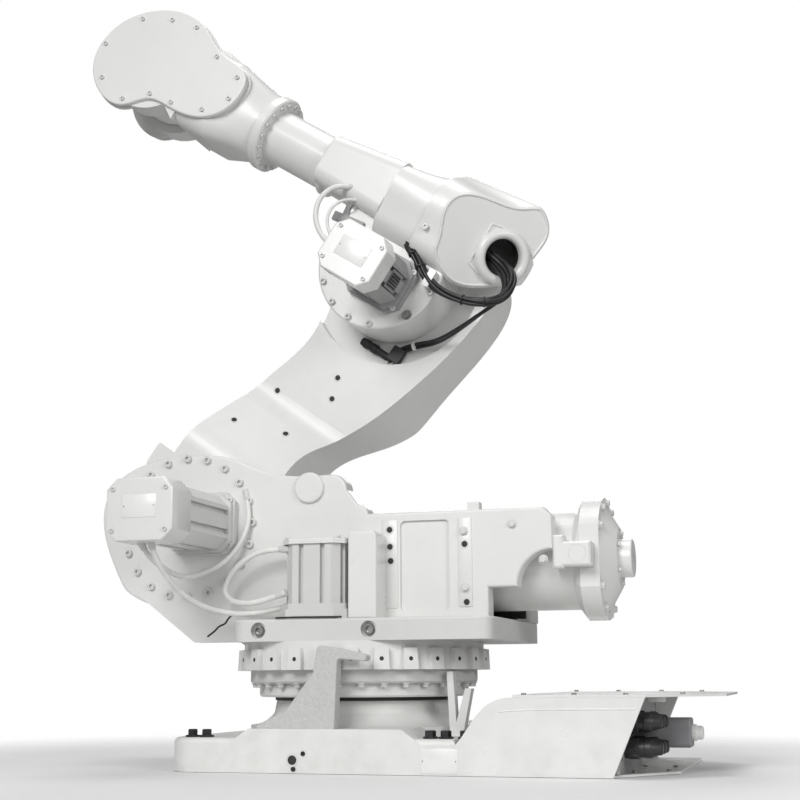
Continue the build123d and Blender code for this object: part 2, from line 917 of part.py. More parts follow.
with BuildPart() as terminal_box:
    with BuildSketch(side(wall_outer + terminal_box_depth)):
        with BuildLine():
            Polyline(
                (terminal_box_front, plate_top),
                (terminal_box_front, plate_top + terminal_box_height),
                (terminal_box_rear, plate_top + terminal_box_height),
                (terminal_box_rear, plate_top),
                close=True,
            )
        make_face()
        fillet(vertices().sort_by(Axis.Y)[-2:].sort_by(Axis.X)[0], terminal_box_edge)
    extrude(amount=terminal_box_depth)
    fillet(terminal_box.faces().sort_by(Axis.Y)[-1].edges(), motor_edge)
save(terminal_box.part, "axis_1_motor_box")

# Balancing cylinder
rear_plane = Plane(origin=(-barrel_rear, 0, trunnion_z), x_dir=(0, 1, 0), z_dir=(-1, 0, 0))
with BuildPart() as barrel:
    with BuildSketch(rear_plane):
        Circle(barrel_radius)
        Circle(barrel_radius - barrel_wall, mode=Mode.SUBTRACT)
    extrude(amount=barrel_front - barrel_rear)
save(barrel.part, "balancer_barrel")

with BuildPart() as balancer_cover:
    with BuildSketch(rear_plane):
        Circle(barrel_radius)
    with BuildSketch(rear_plane.offset(cover_lead)):
        Circle(cover_radius)
        Rectangle(2 * cover_half_width, 2 * cover_radius, mode=Mode.INTERSECT)
    loft()
    with BuildSketch(rear_plane.offset(cover_lead)):
        Circle(cover_radius)
        Rectangle(2 * cover_half_width, 2 * cover_radius, mode=Mode.INTERSECT)
    extrude(amount=cover_length - cover_lead)
    with BuildSketch(rear_plane.offset(cover_length)):
        Circle(cover_half_width)
    with BuildSketch(rear_plane.offset(cover_length + cover_cone_length)):
        Circle(cover_cone_radius)
    loft()
    with BuildSketch(rear_plane.offset(cover_length + cover_cone_length)):
        Circle(cover_boss_radius)
    extrude(amount=cover_boss_length)
    fillet(balancer_cover.faces().sort_by(Axis.X)[0].edges(), motor_edge)
    with BuildSketch(rear_plane.offset(cover_length + cover_cone_length + cover_boss_length)):
        Circle(cover_port_radius)
    extrude(amount=-cover_port_depth, mode=Mode.SUBTRACT)
    with BuildSketch(side(wall_outer)):
        with Locations((trunnion_x, trunnion_z)):
            Circle(trunnion_radius)
    extrude(amount=2 * wall_outer)
save(balancer_cover.part, "balancer_rear_cover")

rod_pin_x = shoulder_x + rod_pin_radius * math.cos(math.radians(rod_pin_direction))
rod_pin_z = shoulder_z + rod_pin_radius * math.sin(math.radians(rod_pin_direction))
rod_start_x = rod_pin_x - rod_eye_radius + rod_root
with BuildPart() as piston_rod:
    with BuildSketch(side(rod_eye_width / 2)):
        with Locations((rod_pin_x, rod_pin_z)):
            Circle(rod_eye_radius)
            Circle(rod_pin_size, mode=Mode.SUBTRACT)
    extrude(amount=rod_eye_width)
    with BuildSketch(Plane(origin=(rod_start_x, 0, rod_pin_z), x_dir=(0, 1, 0), z_dir=(-1, 0, 0))):
        Circle(rod_radius)
    extrude(amount=rod_length)
save(piston_rod.part, "balancer_rod")


def lower_arm_line(step):
    # Side outline; its rear side lies further in by the given share of each step, and the foot stays round
    Spline(
        (0, -arm_foot_radius),
        (shank_start, -shank_front),
        (knee_place, -knee_front),
        (waist_place, -waist_front),
        (arm_length, -head_front),
        (head_tip_place, head_tip_across),
        (head_back_place, head_back_across),
        (crown_place, crown_rear - step * crown_near_step),
        (calf_place, calf_rear - step * calf_near_step),
        (bow_place, bow_rear - step * bow_near_step),
        (ankle_place, ankle_rear - step * ankle_near_step),
        (foot_rear_place, foot_rear),
        (0, arm_foot_radius),
        tangents=((1, 0), (-1, 0)),
    )
    RadiusArc((0, arm_foot_radius), (0, -arm_foot_radius), -arm_foot_radius)


# Lower arm: outline whose rear face slants, bent sideways between foot and head
lower_along = ((elbow_x - shoulder_x) / arm_length, 0, (elbow_z - shoulder_z) / arm_length)
lower_across = (-lower_along[2], 0, lower_along[0])
with BuildPart() as lower_arm:
    with BuildSketch(lower_side(arm_near_foot)):
        with BuildLine():
            lower_arm_line(1)
        make_face()
    with BuildSketch(lower_side(arm_far_head)):
        with BuildLine():
            lower_arm_line(0)
        make_face()
    loft(ruled=True)
    with BuildSketch(Plane(origin=(shoulder_x, 0, shoulder_z), x_dir=lower_along, z_dir=lower_across)):
        with BuildLine():
            Polyline(
                (-2 * arm_foot_radius, arm_near_foot),
                (arm_near_bend_start, arm_near_foot),
                (arm_near_bend_end, arm_near_head),
                (2 * arm_length, arm_near_head),
                (2 * arm_length, arm_far_head),
                (arm_far_bend_end, arm_far_head),
                (arm_far_bend_start, arm_far_foot),
                (-2 * arm_foot_radius, arm_far_foot),
                close=True,
            )
        make_face()
        fillet(vertices().filter_by(lambda spot: 0 < spot.X < arm_length), arm_bend_radius)
    extrude(amount=arm_length, both=True, mode=Mode.INTERSECT)
    with BuildSketch(lower_side(rod_slot_half_width)):
        with Locations((0, rod_slot_start + rod_slot_depth / 2)):
            Rectangle(2 * rod_slot_half_length, rod_slot_depth)
    extrude(amount=2 * rod_slot_half_width, mode=Mode.SUBTRACT)
    with BuildSketch(side(arm_near_foot)):
        with Locations((rod_pin_x, rod_pin_z)):
            Circle(rod_pin_size)
    extrude(amount=arm_near_foot - arm_far_foot, mode=Mode.SUBTRACT)
    with BuildSketch(lower_side(arm_near_head)):
        with Locations((arm_length, 0)):
            Circle(elbow_recess_radius)
    extrude(amount=elbow_recess_depth, mode=Mode.SUBTRACT)
    with BuildSketch(lower_side(arm_near_foot)):
        with Locations((arm_lug_place, -arm_lug_across)):
            RectangleRounded(arm_lug_length, arm_lug_width, arm_edge)
    extrude(amount=arm_lug_thickness)
save(lower_arm.part, "lower_arm")

with BuildPart() as rod_pin:
    with BuildSketch(side(arm_near_foot - pin_inset)):
        with Locations((rod_pin_x, rod_pin_z)):
            Circle(rod_pin_size - seat_gap)
    extrude(amount=arm_near_foot - arm_far_foot - 2 * pin_inset)
save(rod_pin.part, "balancer_pin")

recess_floor = lower_side(arm_near_head - elbow_recess_depth + seat_gap)
with BuildPart() as arm_connectors:
    with BuildSketch(recess_floor):
        with Locations((arm_block_place, arm_block_across)):
            RectangleRounded(arm_block_length, arm_block_width, arm_block_corner)
    extrude(amount=-arm_block_depth)
    plug_root = recess_floor.from_local_coords((arm_plug_place, arm_block_across, -arm_block_depth / 2))
    with BuildSketch(Plane(origin=plug_root, z_dir=-recess_floor.y_dir)):
        Circle(arm_plug_radius)
    extrude(amount=arm_block_across - arm_plug_end)
save(arm_connectors.part, "arm_connectors")

# Upper arm
with BuildPart() as elbow_hub:
    with BuildSketch(upper_side(hub_near)):
        Circle(hub_radius)
    extrude(amount=hub_near - arm_near_head + elbow_recess_depth - seat_gap)
    fillet(elbow_hub.faces().sort_by(Axis.Y)[-1].edges(), hub_edge)
save(elbow_hub.part, "elbow_hub")


def cap_line(inset, crest, lobe):
    # Two-lobed section of the rear of the upper arm: a big near lobe and a smaller far one above.
    # crest and lobe are the shares of their height over the housing that the two lobes have here
    near_rise = crest * (cap_shoulder_n - housing_neck_top)
    saddle_rise = crest * (cap_saddle_n - housing_neck_top)
    lobe_rise = lobe * (cap_lobe_n - housing_neck_top)
    crest_rise = lobe * (cap_crest_n - housing_neck_top)
    low = housing_neck_top - inset - tube_offset
    Spline(
        (cap_side_y - inset, cap_side_n - tube_offset),
        (cap_shoulder_y - inset, near_rise + low),
        (cap_saddle_y, saddle_rise + low),
        (cap_lobe_y, lobe_rise + low),
        (cap_crest_y, crest_rise + low),
        (cap_far_side_y, cap_waist_n - tube_offset),
        (cap_heel_y, cap_heel_n - tube_offset),
        (cap_knee_y, cap_knee_n + inset - tube_offset),
        (cap_bottom_y, cap_bottom_n + inset - tube_offset),
        (cap_corner_y - inset, cap_corner_n + inset - tube_offset),
        periodic=True,
    )


with BuildPart() as housing:
    with BuildSketch(upper_section(housing_rear)):
        with BuildLine():
            cap_line(drum_inset, 1, cap_middle_lobe)
        make_face()
    with BuildSketch(upper_section(housing_neck)):
        with BuildLine():
            cap_line(drum_inset, 0, 0)
        make_face()
    loft()
    with BuildSketch(upper_side(cap_near_y)):
        with Locations(((housing_neck + housing_rear) / 2, 0)):
            Rectangle(housing_neck - housing_rear + 2 * drum_inset, 2 * drum_bottom)
    extrude(amount=cap_near_y - cap_far_y, mode=Mode.SUBTRACT)
    with BuildSketch(upper_section(housing_neck)):
        with Locations((
            (housing_neck_near + housing_far) / 2,
            (housing_neck_bottom + housing_neck_top) / 2 - tube_offset,
        )):
            RectangleRounded(
                housing_neck_near - housing_far, housing_neck_top - housing_neck_bottom, housing_corner
            )
    with BuildSketch(upper_section(housing_front)):
        with Locations((
            (housing_front_near + housing_far) / 2,
            (housing_front_bottom + housing_front_top) / 2 - tube_offset,
        )):
            RectangleRounded(
                housing_front_near - housing_far, housing_front_top - housing_front_bottom, housing_corner
            )
    loft()
    front_face = housing.faces().filter_by(GeomType.PLANE).sort_by(arm_axis)[-1]
    fillet(front_face.edges(), housing_edge)
    with BuildSketch(upper_side(hub_near + seat_gap)):
        Circle(hub_radius + seat_gap)
    extrude(amount=hub_near + seat_gap - housing_far, mode=Mode.SUBTRACT)
save(housing.part, "upper_arm_housing")

elbow_motor_plane = Plane(
    origin=(
        elbow_x + elbow_motor_t * arm_cos - elbow_motor_n * arm_sin,
        hub_near,
        elbow_z + elbow_motor_t * arm_sin + elbow_motor_n * arm_cos,
    ),
    x_dir=(-arm_cos, 0, -arm_sin),
    z_dir=(0, 1, 0),
)
motor_body, motor_cap = motor(
    elbow_motor_plane, elbow_motor_width, elbow_motor_height, elbow_motor_length, elbow_cap_length
)
save(motor_body, "axis_3_motor")
save(motor_cap, "axis_3_motor_cap")

with BuildPart() as rear_cap:
    with BuildSketch(upper_section(housing_rear)):
        with BuildLine():
            cap_line(0, 1, cap_middle_lobe)
        make_face()
    with BuildSketch(upper_section(cap_far_t - cap_rim)):
        with BuildLine():
            cap_line(0, 1, 1)
        make_face()
    loft()
    with BuildSketch(Plane(
        origin=(elbow_x, 0, elbow_z), x_dir=(arm_cos, 0, arm_sin), z_dir=(-arm_sin, 0, arm_cos)
    )):
        with BuildLine():
            slope = (cap_near_y - cap_far_y) / (cap_near_t - cap_far_t)
            Polyline(
                (cap_near_t + cap_depth, cap_near_y + cap_depth * slope),
                (cap_far_t - cap_depth, cap_far_y - cap_depth * slope),
                (cap_far_t - cap_depth, cap_near_y + cap_depth * slope),
                close=True,
            )
        make_face()
    extrude(amount=2 * cap_depth, both=True, mode=Mode.SUBTRACT)
    slant = rear_cap.faces().filter_by(GeomType.PLANE).sort_by(Axis((0, 0, 0), (-arm_cos, 1, -arm_sin)))[-1]
    fillet(slant.edges(), cap_rim)
    with BuildSketch(upper_section(collar_start)):
        with Locations((collar_y, 0)):
            Circle(collar_radius + seat_gap)
    extrude(amount=-cap_depth, mode=Mode.SUBTRACT)
    with BuildSketch(upper_side(hub_near + seat_gap)):
        Circle(hub_radius + seat_gap)
    extrude(amount=hub_near + seat_gap - housing_far, mode=Mode.SUBTRACT)
save(rear_cap.part, "rear_cap")

with BuildPart() as cable_collar:
    with BuildSketch(upper_section(collar_start - seat_gap)):
        with Locations((collar_y, 0)):
            Circle(collar_radius)
            Circle(cable_hole_radius, mode=Mode.SUBTRACT)
    extrude(amount=collar_end - collar_start)
    fillet(cable_collar.faces().sort_by(arm_axis)[0].edges(), collar_edge)
save(cable_collar.part, "cable_collar")

with BuildPart() as front_ring:
    with BuildSketch(upper_section(housing_front + seat_gap)):
        Circle(front_ring_radius)
        Rectangle(2 * (housing_front_near - seat_gap), 2 * front_ring_radius, mode=Mode.INTERSECT)
    extrude(amount=front_ring_length)
    chamfer(front_ring.faces().sort_by(arm_axis)[-1].edges(), ring_chamfer)
save(front_ring.part, "axis_4_front_ring")

# Tube and wrist
tube_start = housing_front + seat_gap + front_ring_length + seat_gap
with BuildPart() as arm_tube:
    with BuildSketch(upper_section(tube_start)):
        Circle(tube_radius)
    extrude(amount=tube_end - tube_start)
save(arm_tube.part, "arm_tube")

with BuildPart() as wrist_ring:
    with BuildSketch(upper_section(tube_end)):
        Circle(wrist_ring_radius)
    extrude(amount=wrist_ring_length)
    chamfer(wrist_ring.faces().sort_by(arm_axis)[0].edges(), ring_chamfer)
save(wrist_ring.part, "wrist_flange_ring")


def cover_line(inset):
    # Outline of the wrist covers and of the flanges under them: a round front lobe and a smaller rear one
    Spline(
        (wrist_reach + cover_front_radius - inset, cover_front_n),
        (wrist_reach + cover_crown_back, cover_front_n + cover_crown_rise - inset),
        (cover_crown_t, cover_crown_n - inset),
        (cover_saddle_t, cover_saddle_n - inset),
        (cover_corner_t + inset, cover_corner_n - inset),
        (cover_rear_t + inset, cover_rear_n),
        (cover_heel_t + inset / 2, cover_heel_n + inset),
        (cover_sole_t, cover_sole_n + inset),
        (cover_chin_t, cover_chin_n + inset),
        (wrist_reach, cover_front_n - cover_chin_drop + inset),
        (wrist_reach + cover_jaw_out - inset, cover_front_n - cover_jaw_drop + inset),
        periodic=True,
    )


with BuildPart() as wrist_housing:
    with BuildSketch(upper_section(tube_end + wrist_ring_length)):
        Circle(wrist_collar_radius)
    with BuildSketch(upper_section(wrist_body_start)):
        RectangleRounded(2 * cheek_outer, 2 * wrist_body_half, wrist_body_corner)
    loft()
    with BuildSketch(upper_section(wrist_body_start)):
        RectangleRounded(2 * cheek_outer, 2 * wrist_body_half, wrist_body_corner)
    extrude(amount=wrist_shoulder - wrist_body_start)
    with BuildSketch(upper_side(cheek_outer)):
        with Locations((wrist_reach, tube_offset)):
            Circle(cheek_radius)
        with BuildLine():
            cheek_rise = cheek_radius * math.sin(math.radians(cheek_join_angle))
            cheek_back = wrist_reach - cheek_radius * math.cos(math.radians(cheek_join_angle))
            Polyline(
                (wrist_shoulder, tube_offset + wrist_body_half),
                (cheek_back, tube_offset + cheek_rise),
                (cheek_back, tube_offset - cheek_rise),
                (wrist_shoulder, tube_offset - wrist_body_half),
                close=True,
            )
        make_face()
    extrude(amount=2 * cheek_outer)
    with BuildSketch(upper_side(cheek_outer)):
        with BuildLine():
            cover_line(cover_inset)
        make_face()
    extrude(amount=cheek_flange)
    with BuildSketch(upper_side(cheek_flange - cheek_outer)):
        with BuildLine():
            cover_line(cover_inset)
        make_face()
    extrude(amount=cheek_flange)
    with BuildSketch(upper_side(cheek_inner)):
        with Locations(((wrist_web_end + wrist_reach + 2 * tool_reach) / 2, tube_offset)):
            Rectangle(wrist_reach + 2 * tool_reach - wrist_web_end, 2 * tool_reach)
    extrude(amount=2 * cheek_inner, mode=Mode.SUBTRACT)
save(wrist_housing.part, "wrist_housing")

for name, y in (
    ("wrist_cover_left", cheek_outer + wrist_cover_thickness),
    ("wrist_cover_right", -cheek_outer),
):
    with BuildPart() as wrist_cover:
        with BuildSketch(upper_side(y)):
            with BuildLine():
                cover_line(0)
            make_face()
        extrude(amount=wrist_cover_thickness)
        outer_face = wrist_cover.faces().sort_by(Axis.Y)[-1 if y > 0 else 0]
        fillet(outer_face.edges(), wrist_cover_edge)
    save(wrist_cover.part, name)

with BuildPart() as tilt_housing:
    with BuildSketch(upper_side(tilt_half_width)):
        with Locations((wrist_reach, tube_offset)):
            Circle(tilt_radius)
    extrude(amount=2 * tilt_half_width)
    with BuildSketch(upper_side(cheek_inner - seat_gap)):
        with Locations((wrist_reach, tube_offset)):
            Circle(tilt_journal_radius)
    extrude(amount=2 * (cheek_inner - seat_gap))
    with BuildSketch(upper_section(wrist_reach)):
        Circle(tilt_half_width)
    extrude(amount=tool_reach - tool_flange_thickness - seat_gap)
save(tilt_housing.part, "tilt_housing")

with BuildPart() as tool_flange:
    with BuildSketch(upper_section(wrist_reach + tool_reach - tool_flange_thickness)):
        Circle(tool_flange_radius)
        Circle(tool_centre_radius, mode=Mode.SUBTRACT)
        with PolarLocations(tool_bolt_circle, tool_bolt_count):
            Circle(tool_bolt_radius, mode=Mode.SUBTRACT)
    extrude(amount=tool_flange_thickness)
save(tool_flange.part, "tool_flange")


# Cables and the clamp that holds the elbow harness
def cable(name, radius, points):
    # Straight runs and tangent arcs along the given points; the arc radii are printed
    radii = []
    for before, corner, after in zip(points, points[1:], points[2:]):
        inward = Vector(corner) - Vector(before)
        outward = Vector(after) - Vector(corner)
        half_turn = math.radians(inward.get_angle(outward)) / 2
        radii.append(cable_arc_share * min(inward.length, outward.length) / math.tan(half_turn))
    with BuildPart() as tube:
        with BuildLine() as route:
            FilletPolyline(*points, radius=radii)
        with BuildSketch(Plane(origin=points[0], z_dir=Vector(points[1]) - Vector(points[0]))):
            Circle(radius)
        sweep(path=route.wire())
    section_by_length = math.pi * radius**2 * route.wire().length
    print(name, "radii", [round(value) for value in radii])
    print(name, "volume", round(tube.part.volume), "section by length", round(section_by_length))
    save(tube.part, name)


def arm_point(t, y, n):
    # Point on the upper arm: along it from the elbow, sideways, and above the elbow
    return (elbow_x + t * arm_cos - n * arm_sin, y, elbow_z + t * arm_sin + n * arm_cos)


cable("elbow_harness", harness_radius, [
    arm_point(-222, 28, 196),
    arm_point(-300, 26, 190),
    arm_point(-372, 34, 180),
    arm_point(-418, 66, 156),
    arm_point(-420, 104, 116),
    arm_point(-382, 124, 76),
    arm_point(-310, 124, 50),
    arm_point(-238, 123, 38),
    arm_point(-174, 121, 44),
    arm_point(-122, 119, 68),
    arm_point(-84, 117, 84),
    arm_point(-62, 114, 112),
])
cable("axis_3_motor_cable", cable_radius, [
    arm_point(44, 210, -22),
    arm_point(104, 208, -36),
    arm_point(168, 204, -24),
    arm_point(220, 200, 12),
    arm_point(246, 196, 66),
    arm_point(240, 182, 118),
    arm_point(214, 158, 150),
    arm_point(190, 124, 166),
])
cable("axis_2_motor_cable", cable_radius, [
    (418, 575, 618),
    (412, 556, 572),
    (401, 512, 524),
    (386, 448, 480),
    (360, 384, 448),
    (322, 326, 430),
    (270, 290, 424),
    (206, 276, 430),
    (128, 272, 446),
])
cable("axis_2_signal_cable", cable_radius, [
    (456, 560, 618),
    (446, 538, 580),
    (424, 492, 548),
    (402, 432, 524),
    (388, 368, 528),
    (366, 314, 546),
    (334, 268, 574),
    (300, 242, 622),
    (278, 228, 686),
    (284, 222, 744),
    (300, 204, 790),
])
cable("axis_1_motor_cable", cable_radius, [
    (128, 286, 604),
    (190, 290, 606),
    (250, 288, 588),
    (302, 286, 548),
    (330, 284, 494),
    (308, 292, 464),
    (258, 306, 452),
    (196, 312, 458),
    (128, 310, 482),
])

with BuildPart() as clamp:
    with BuildSketch(upper_side(hub_near + seat_gap + clamp_depth)):
        with Locations((clamp_t, clamp_n)):
            RectangleRounded(clamp_length, clamp_height, clamp_corner)
    extrude(amount=clamp_depth)
save(clamp.part, "harness_clamp")
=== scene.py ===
import math
import bpy
from mathutils import Matrix, Vector


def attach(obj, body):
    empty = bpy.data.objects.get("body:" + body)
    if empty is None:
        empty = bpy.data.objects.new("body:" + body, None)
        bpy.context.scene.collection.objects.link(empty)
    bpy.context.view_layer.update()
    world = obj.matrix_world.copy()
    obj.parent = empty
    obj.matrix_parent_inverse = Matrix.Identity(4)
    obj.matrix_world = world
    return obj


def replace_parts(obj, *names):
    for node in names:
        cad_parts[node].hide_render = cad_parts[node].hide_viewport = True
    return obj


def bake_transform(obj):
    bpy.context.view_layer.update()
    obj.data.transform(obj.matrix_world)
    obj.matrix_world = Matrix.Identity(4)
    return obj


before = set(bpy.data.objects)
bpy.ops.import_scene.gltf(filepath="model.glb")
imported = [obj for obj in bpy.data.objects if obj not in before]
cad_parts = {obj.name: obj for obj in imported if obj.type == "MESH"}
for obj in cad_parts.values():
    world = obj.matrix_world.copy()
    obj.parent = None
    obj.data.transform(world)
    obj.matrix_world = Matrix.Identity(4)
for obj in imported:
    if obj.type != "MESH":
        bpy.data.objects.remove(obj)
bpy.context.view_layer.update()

print("robot arm: frame loaded with", len(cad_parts), "nodes")

# The main axes in metres and degrees
armLayout = {
    "shoulder": (0.478, 0.686),
    "elbow": (-0.085, 1.478),
    "upperArmRise": 33.5,
    "tubeOffset": 0.207,
    "wallFace": 0.212,
    "hubFace": 0.100,
}

# The studio: place of the camera, its lens, and the tones around the object
studio = {
    "cameraPlace": (-1.308, 3.905, 0.246),
    "cameraTurn": 17.0,
    "cameraRise": 11.47,
    "cameraRoll": -0.32,
    "lens": 61.587,
    "floorTone": (0.78, 0.78, 0.78),
    "floorFull": 1.2,
    "floorGone": 2.6,
    "skyStrength": 0.23,
    "backdropStrength": 1.0,
}


def deselectAll():
    if bpy.context.object and bpy.context.object.mode != "OBJECT":
        bpy.ops.object.mode_set(mode="OBJECT")
    for item in bpy.context.selected_objects:
        item.select_set(False)


def makeActive(piece):
    deselectAll()
    piece.select_set(True)
    bpy.context.view_layer.objects.active = piece


def settle(piece):  # the place goes into the mesh and the object stays at the origin
    makeActive(piece)
    bpy.ops.object.transform_apply(location=True, rotation=True, scale=True)
    piece.select_set(False)
    return piece


def putAt(piece, place):
    piece.matrix_world = place
    return settle(piece)


def editAll(piece):  # edit mode with the whole piece selected
    makeActive(piece)
    bpy.ops.object.mode_set(mode="EDIT")
    bpy.ops.mesh.select_mode(type="FACE")
    bpy.ops.mesh.select_all(action="SELECT")


def editFaces(piece, test):  # edit mode with the faces selected for which the test holds
    makeActive(piece)
    bpy.ops.object.mode_set(mode="EDIT")
    bpy.ops.mesh.select_mode(type="FACE")
    bpy.ops.mesh.select_all(action="DESELECT")
    bpy.ops.object.mode_set(mode="OBJECT")
    for face in piece.data.polygons:
        face.select = test(face)
    bpy.ops.object.mode_set(mode="EDIT")


def everySecondSide(face, low, high):  # every other side face between two heights, for grips
    return abs(face.normal.z) < 0.1 and low < face.center.z < high and face.index % 2 == 0


def closeEdit(piece):
    bpy.ops.mesh.select_all(action="SELECT")
    bpy.ops.mesh.remove_doubles(threshold=0.00002)
    bpy.ops.mesh.normals_make_consistent(inside=False)
    bpy.ops.object.mode_set(mode="OBJECT")
    return piece


def addGrips(piece, low, high, width, share):  # every second side face pressed in or out
    editFaces(piece, lambda face: everySecondSide(face, low, high))
    bpy.ops.mesh.inset(thickness=width, use_individual=True)
    bpy.ops.transform.resize(value=(share, share, 1.0), center_override=(0, 0, 0))
    closeEdit(piece)


def shiftTop(piece, leastArea, width, shift):  # the middle of the top face raised or sunk
    editFaces(piece, lambda face: face.normal.z > 0.9 and face.area > leastArea)
    bpy.ops.mesh.inset(thickness=width)
    bpy.ops.transform.translate(value=(0, 0, shift))
    closeEdit(piece)


def roundEdges(piece, width, segments=2, angle=30):  # bevels every sharp edge, as a maker breaks them
    makeActive(piece)
    bevel = piece.modifiers.new("roundEdges", "BEVEL")
    bevel.width, bevel.segments = width, segments
    bevel.limit_method, bevel.angle_limit = "ANGLE", math.radians(angle)
    bpy.ops.object.modifier_apply(modifier=bevel.name)
    return piece


def smoothByAngle(piece, degrees=35):
    makeActive(piece)
    bpy.ops.object.shade_smooth_by_angle(angle=math.radians(degrees))
    piece.select_set(False)
    return piece


def paintPiece(piece, finishName):
    piece.data.materials.clear()
    piece.data.materials.append(finishes[finishName])
    return piece


def joinPieces(parts, name):
    deselectAll()
    for part in parts:
        part.select_set(True)
    bpy.context.view_layer.objects.active = parts[0]
    if len(parts) > 1:
        bpy.ops.object.join()
    joined = bpy.context.object
    joined.name = name
    joined.data.name = name
    return settle(joined)


def turned(name, sides, outline):  # a turned piece: rings of radius and height, from the bottom up
    deselectAll()
    radius, height = outline[0]
    start = (0, 0, height)
    bpy.ops.mesh.primitive_circle_add(vertices=sides, radius=radius, fill_type="NGON", location=start)
    piece = settle(bpy.context.object)
    piece.name = name
    editAll(piece)
    for nextRadius, nextHeight in outline[1:]:
        bpy.ops.mesh.extrude_region_move(TRANSFORM_OT_translate={"value": (0, 0, nextHeight - height)})
        share = nextRadius / radius
        bpy.ops.transform.resize(value=(share, share, 1), center_override=(0, 0, 0))
        radius, height = nextRadius, nextHeight
    return closeEdit(piece)


def block(name, size, edge):  # a block with broken edges that stands on the origin
    deselectAll()
    bpy.ops.mesh.primitive_cube_add(size=1, location=(0, 0, size[2] / 2))
    piece = bpy.context.object
    piece.name = name
    piece.scale = size
    settle(piece)
    return roundEdges(piece, edge)


def reshaped(name, nodeName, share, middle):  # a merged copy of a CAD node, stretched about a point
    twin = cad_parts[nodeName].copy()
    twin.data = twin.data.copy()
    twin.name = name
    for key in list(twin.keys()):
        del twin[key]
    twin.parent = None
    bpy.context.collection.objects.link(twin)
    editAll(twin)
    bpy.ops.mesh.remove_doubles(threshold=0.00002)
    bpy.ops.mesh.select_all(action="SELECT")
    bpy.ops.transform.resize(value=share, center_override=middle)
    bpy.ops.object.mode_set(mode="OBJECT")
    return twin


def facing(point, direction, turn=0.0):  # a place on a point, Z along the direction, turned about it
    face = Vector(direction).normalized().to_track_quat("Z", "Y").to_matrix().to_4x4()
    return Matrix.Translation(Vector(point)) @ face @ Matrix.Rotation(math.radians(turn), 4, "Z")


def copyTo(master, places, name, body):  # copies of one model, each with its own mesh, joined to one piece
    copies = []
    for place in places:
        twin = master.copy()
        twin.data = master.data.copy()
        bpy.context.collection.objects.link(twin)
        twin.matrix_world = place
        copies.append(twin)
    piece = joinPieces(copies, name)
    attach(piece, body)
    return piece


def discard(*masters):
    for master in masters:
        bpy.data.objects.remove(master)


def useUp(master, places, name, body):  # the copies of a model that is needed no more
    piece = copyTo(master, places, name, body)
    discard(master)
    return piece


def ringPlaces(middle, right, up, ring, out, spin):  # a ring of screws, each turned on by the spin
    places = []
    for index in range(ring["count"]):
        angle = math.radians(ring.get("firstAngle", 0) + 360 * index / ring["count"])
        spot = middle + ring["circle"] * (math.cos(angle) * right + math.sin(angle) * up)
        places.append(facing(spot, out, spin * index))
    return places


# Places on the arms: along the arm, to the left side, and up from its axis
armRise = math.radians(armLayout["upperArmRise"])
upperAlong = Vector((math.cos(armRise), 0, math.sin(armRise)))
upperUp = Vector((-math.sin(armRise), 0, math.cos(armRise)))
elbowPoint = Vector((armLayout["elbow"][0], 0, armLayout["elbow"][1]))
shoulderPoint = Vector((armLayout["shoulder"][0], 0, armLayout["shoulder"][1]))
lowerAlong = (elbowPoint - shoulderPoint).normalized()
lowerBack = Vector((-lowerAlong.z, 0, lowerAlong.x))
leftward, sideways, upright = Vector((0, 1, 0)), Vector((1, 0, 0)), Vector((0, 0, 1))


def upperPoint(t, y, n):
    return elbowPoint + t * upperAlong + y * leftward + n * upperUp


def lowerPoint(s, y, w):
    return shoulderPoint + s * lowerAlong + y * leftward + w * lowerBack


def upperFace(t, y, n, turn=0.0):  # a place on the arm's left side that looks out to the left
    frameTurn = Matrix((upperAlong, -upperUp, leftward)).transposed()
    spin = Matrix.Rotation(math.radians(turn), 4, "Z")
    return Matrix.Translation(upperPoint(t, y, n)) @ frameTurn.to_4x4() @ spin


def strand(name, points, radius, finishName, body):  # a cable on one smooth line through the route
    line = bpy.data.curves.new(name, "CURVE")
    line.dimensions = "3D"
    spline = line.splines.new("NURBS")
    spline.points.add(len(points) - 1)
    for spot, place in zip(spline.points, points):
        spot.co = (*place, 1.0)
    spline.order_u = 3
    spline.use_endpoint_u = True
    spline.resolution_u = 7
    line.bevel_depth = radius
    line.bevel_resolution = 3
    line.use_fill_caps = True
    holder = bpy.data.objects.new(name, line)
    bpy.context.collection.objects.link(holder)
    makeActive(holder)
    bpy.ops.object.convert(target="MESH")
    piece = bpy.context.object
    piece.name = name
    smoothByAngle(paintPiece(piece, finishName), 60)
    if body:
        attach(piece, body)
    return piece


# Shader maths: sockets that can be added, subtracted and multiplied
class Wire:
    def __init__(self, maker, socket):
        self.maker, self.socket = maker, socket

    def math(self, kind, first, second):
        return self.maker.add("ShaderNodeMath", {"operation": kind}, {0: first, 1: second})

    def __add__(self, other):
        return self.math("ADD", self, other)

    def __radd__(self, other):
        return self.math("ADD", other, self)

    def __sub__(self, other):
        return self.math("SUBTRACT", self, other)

    def __rsub__(self, other):
        return self.math("SUBTRACT", other, self)

    def __mul__(self, other):
        return self.math("MULTIPLY", self, other)

    def __rmul__(self, other):
        return self.math("MULTIPLY", other, self)


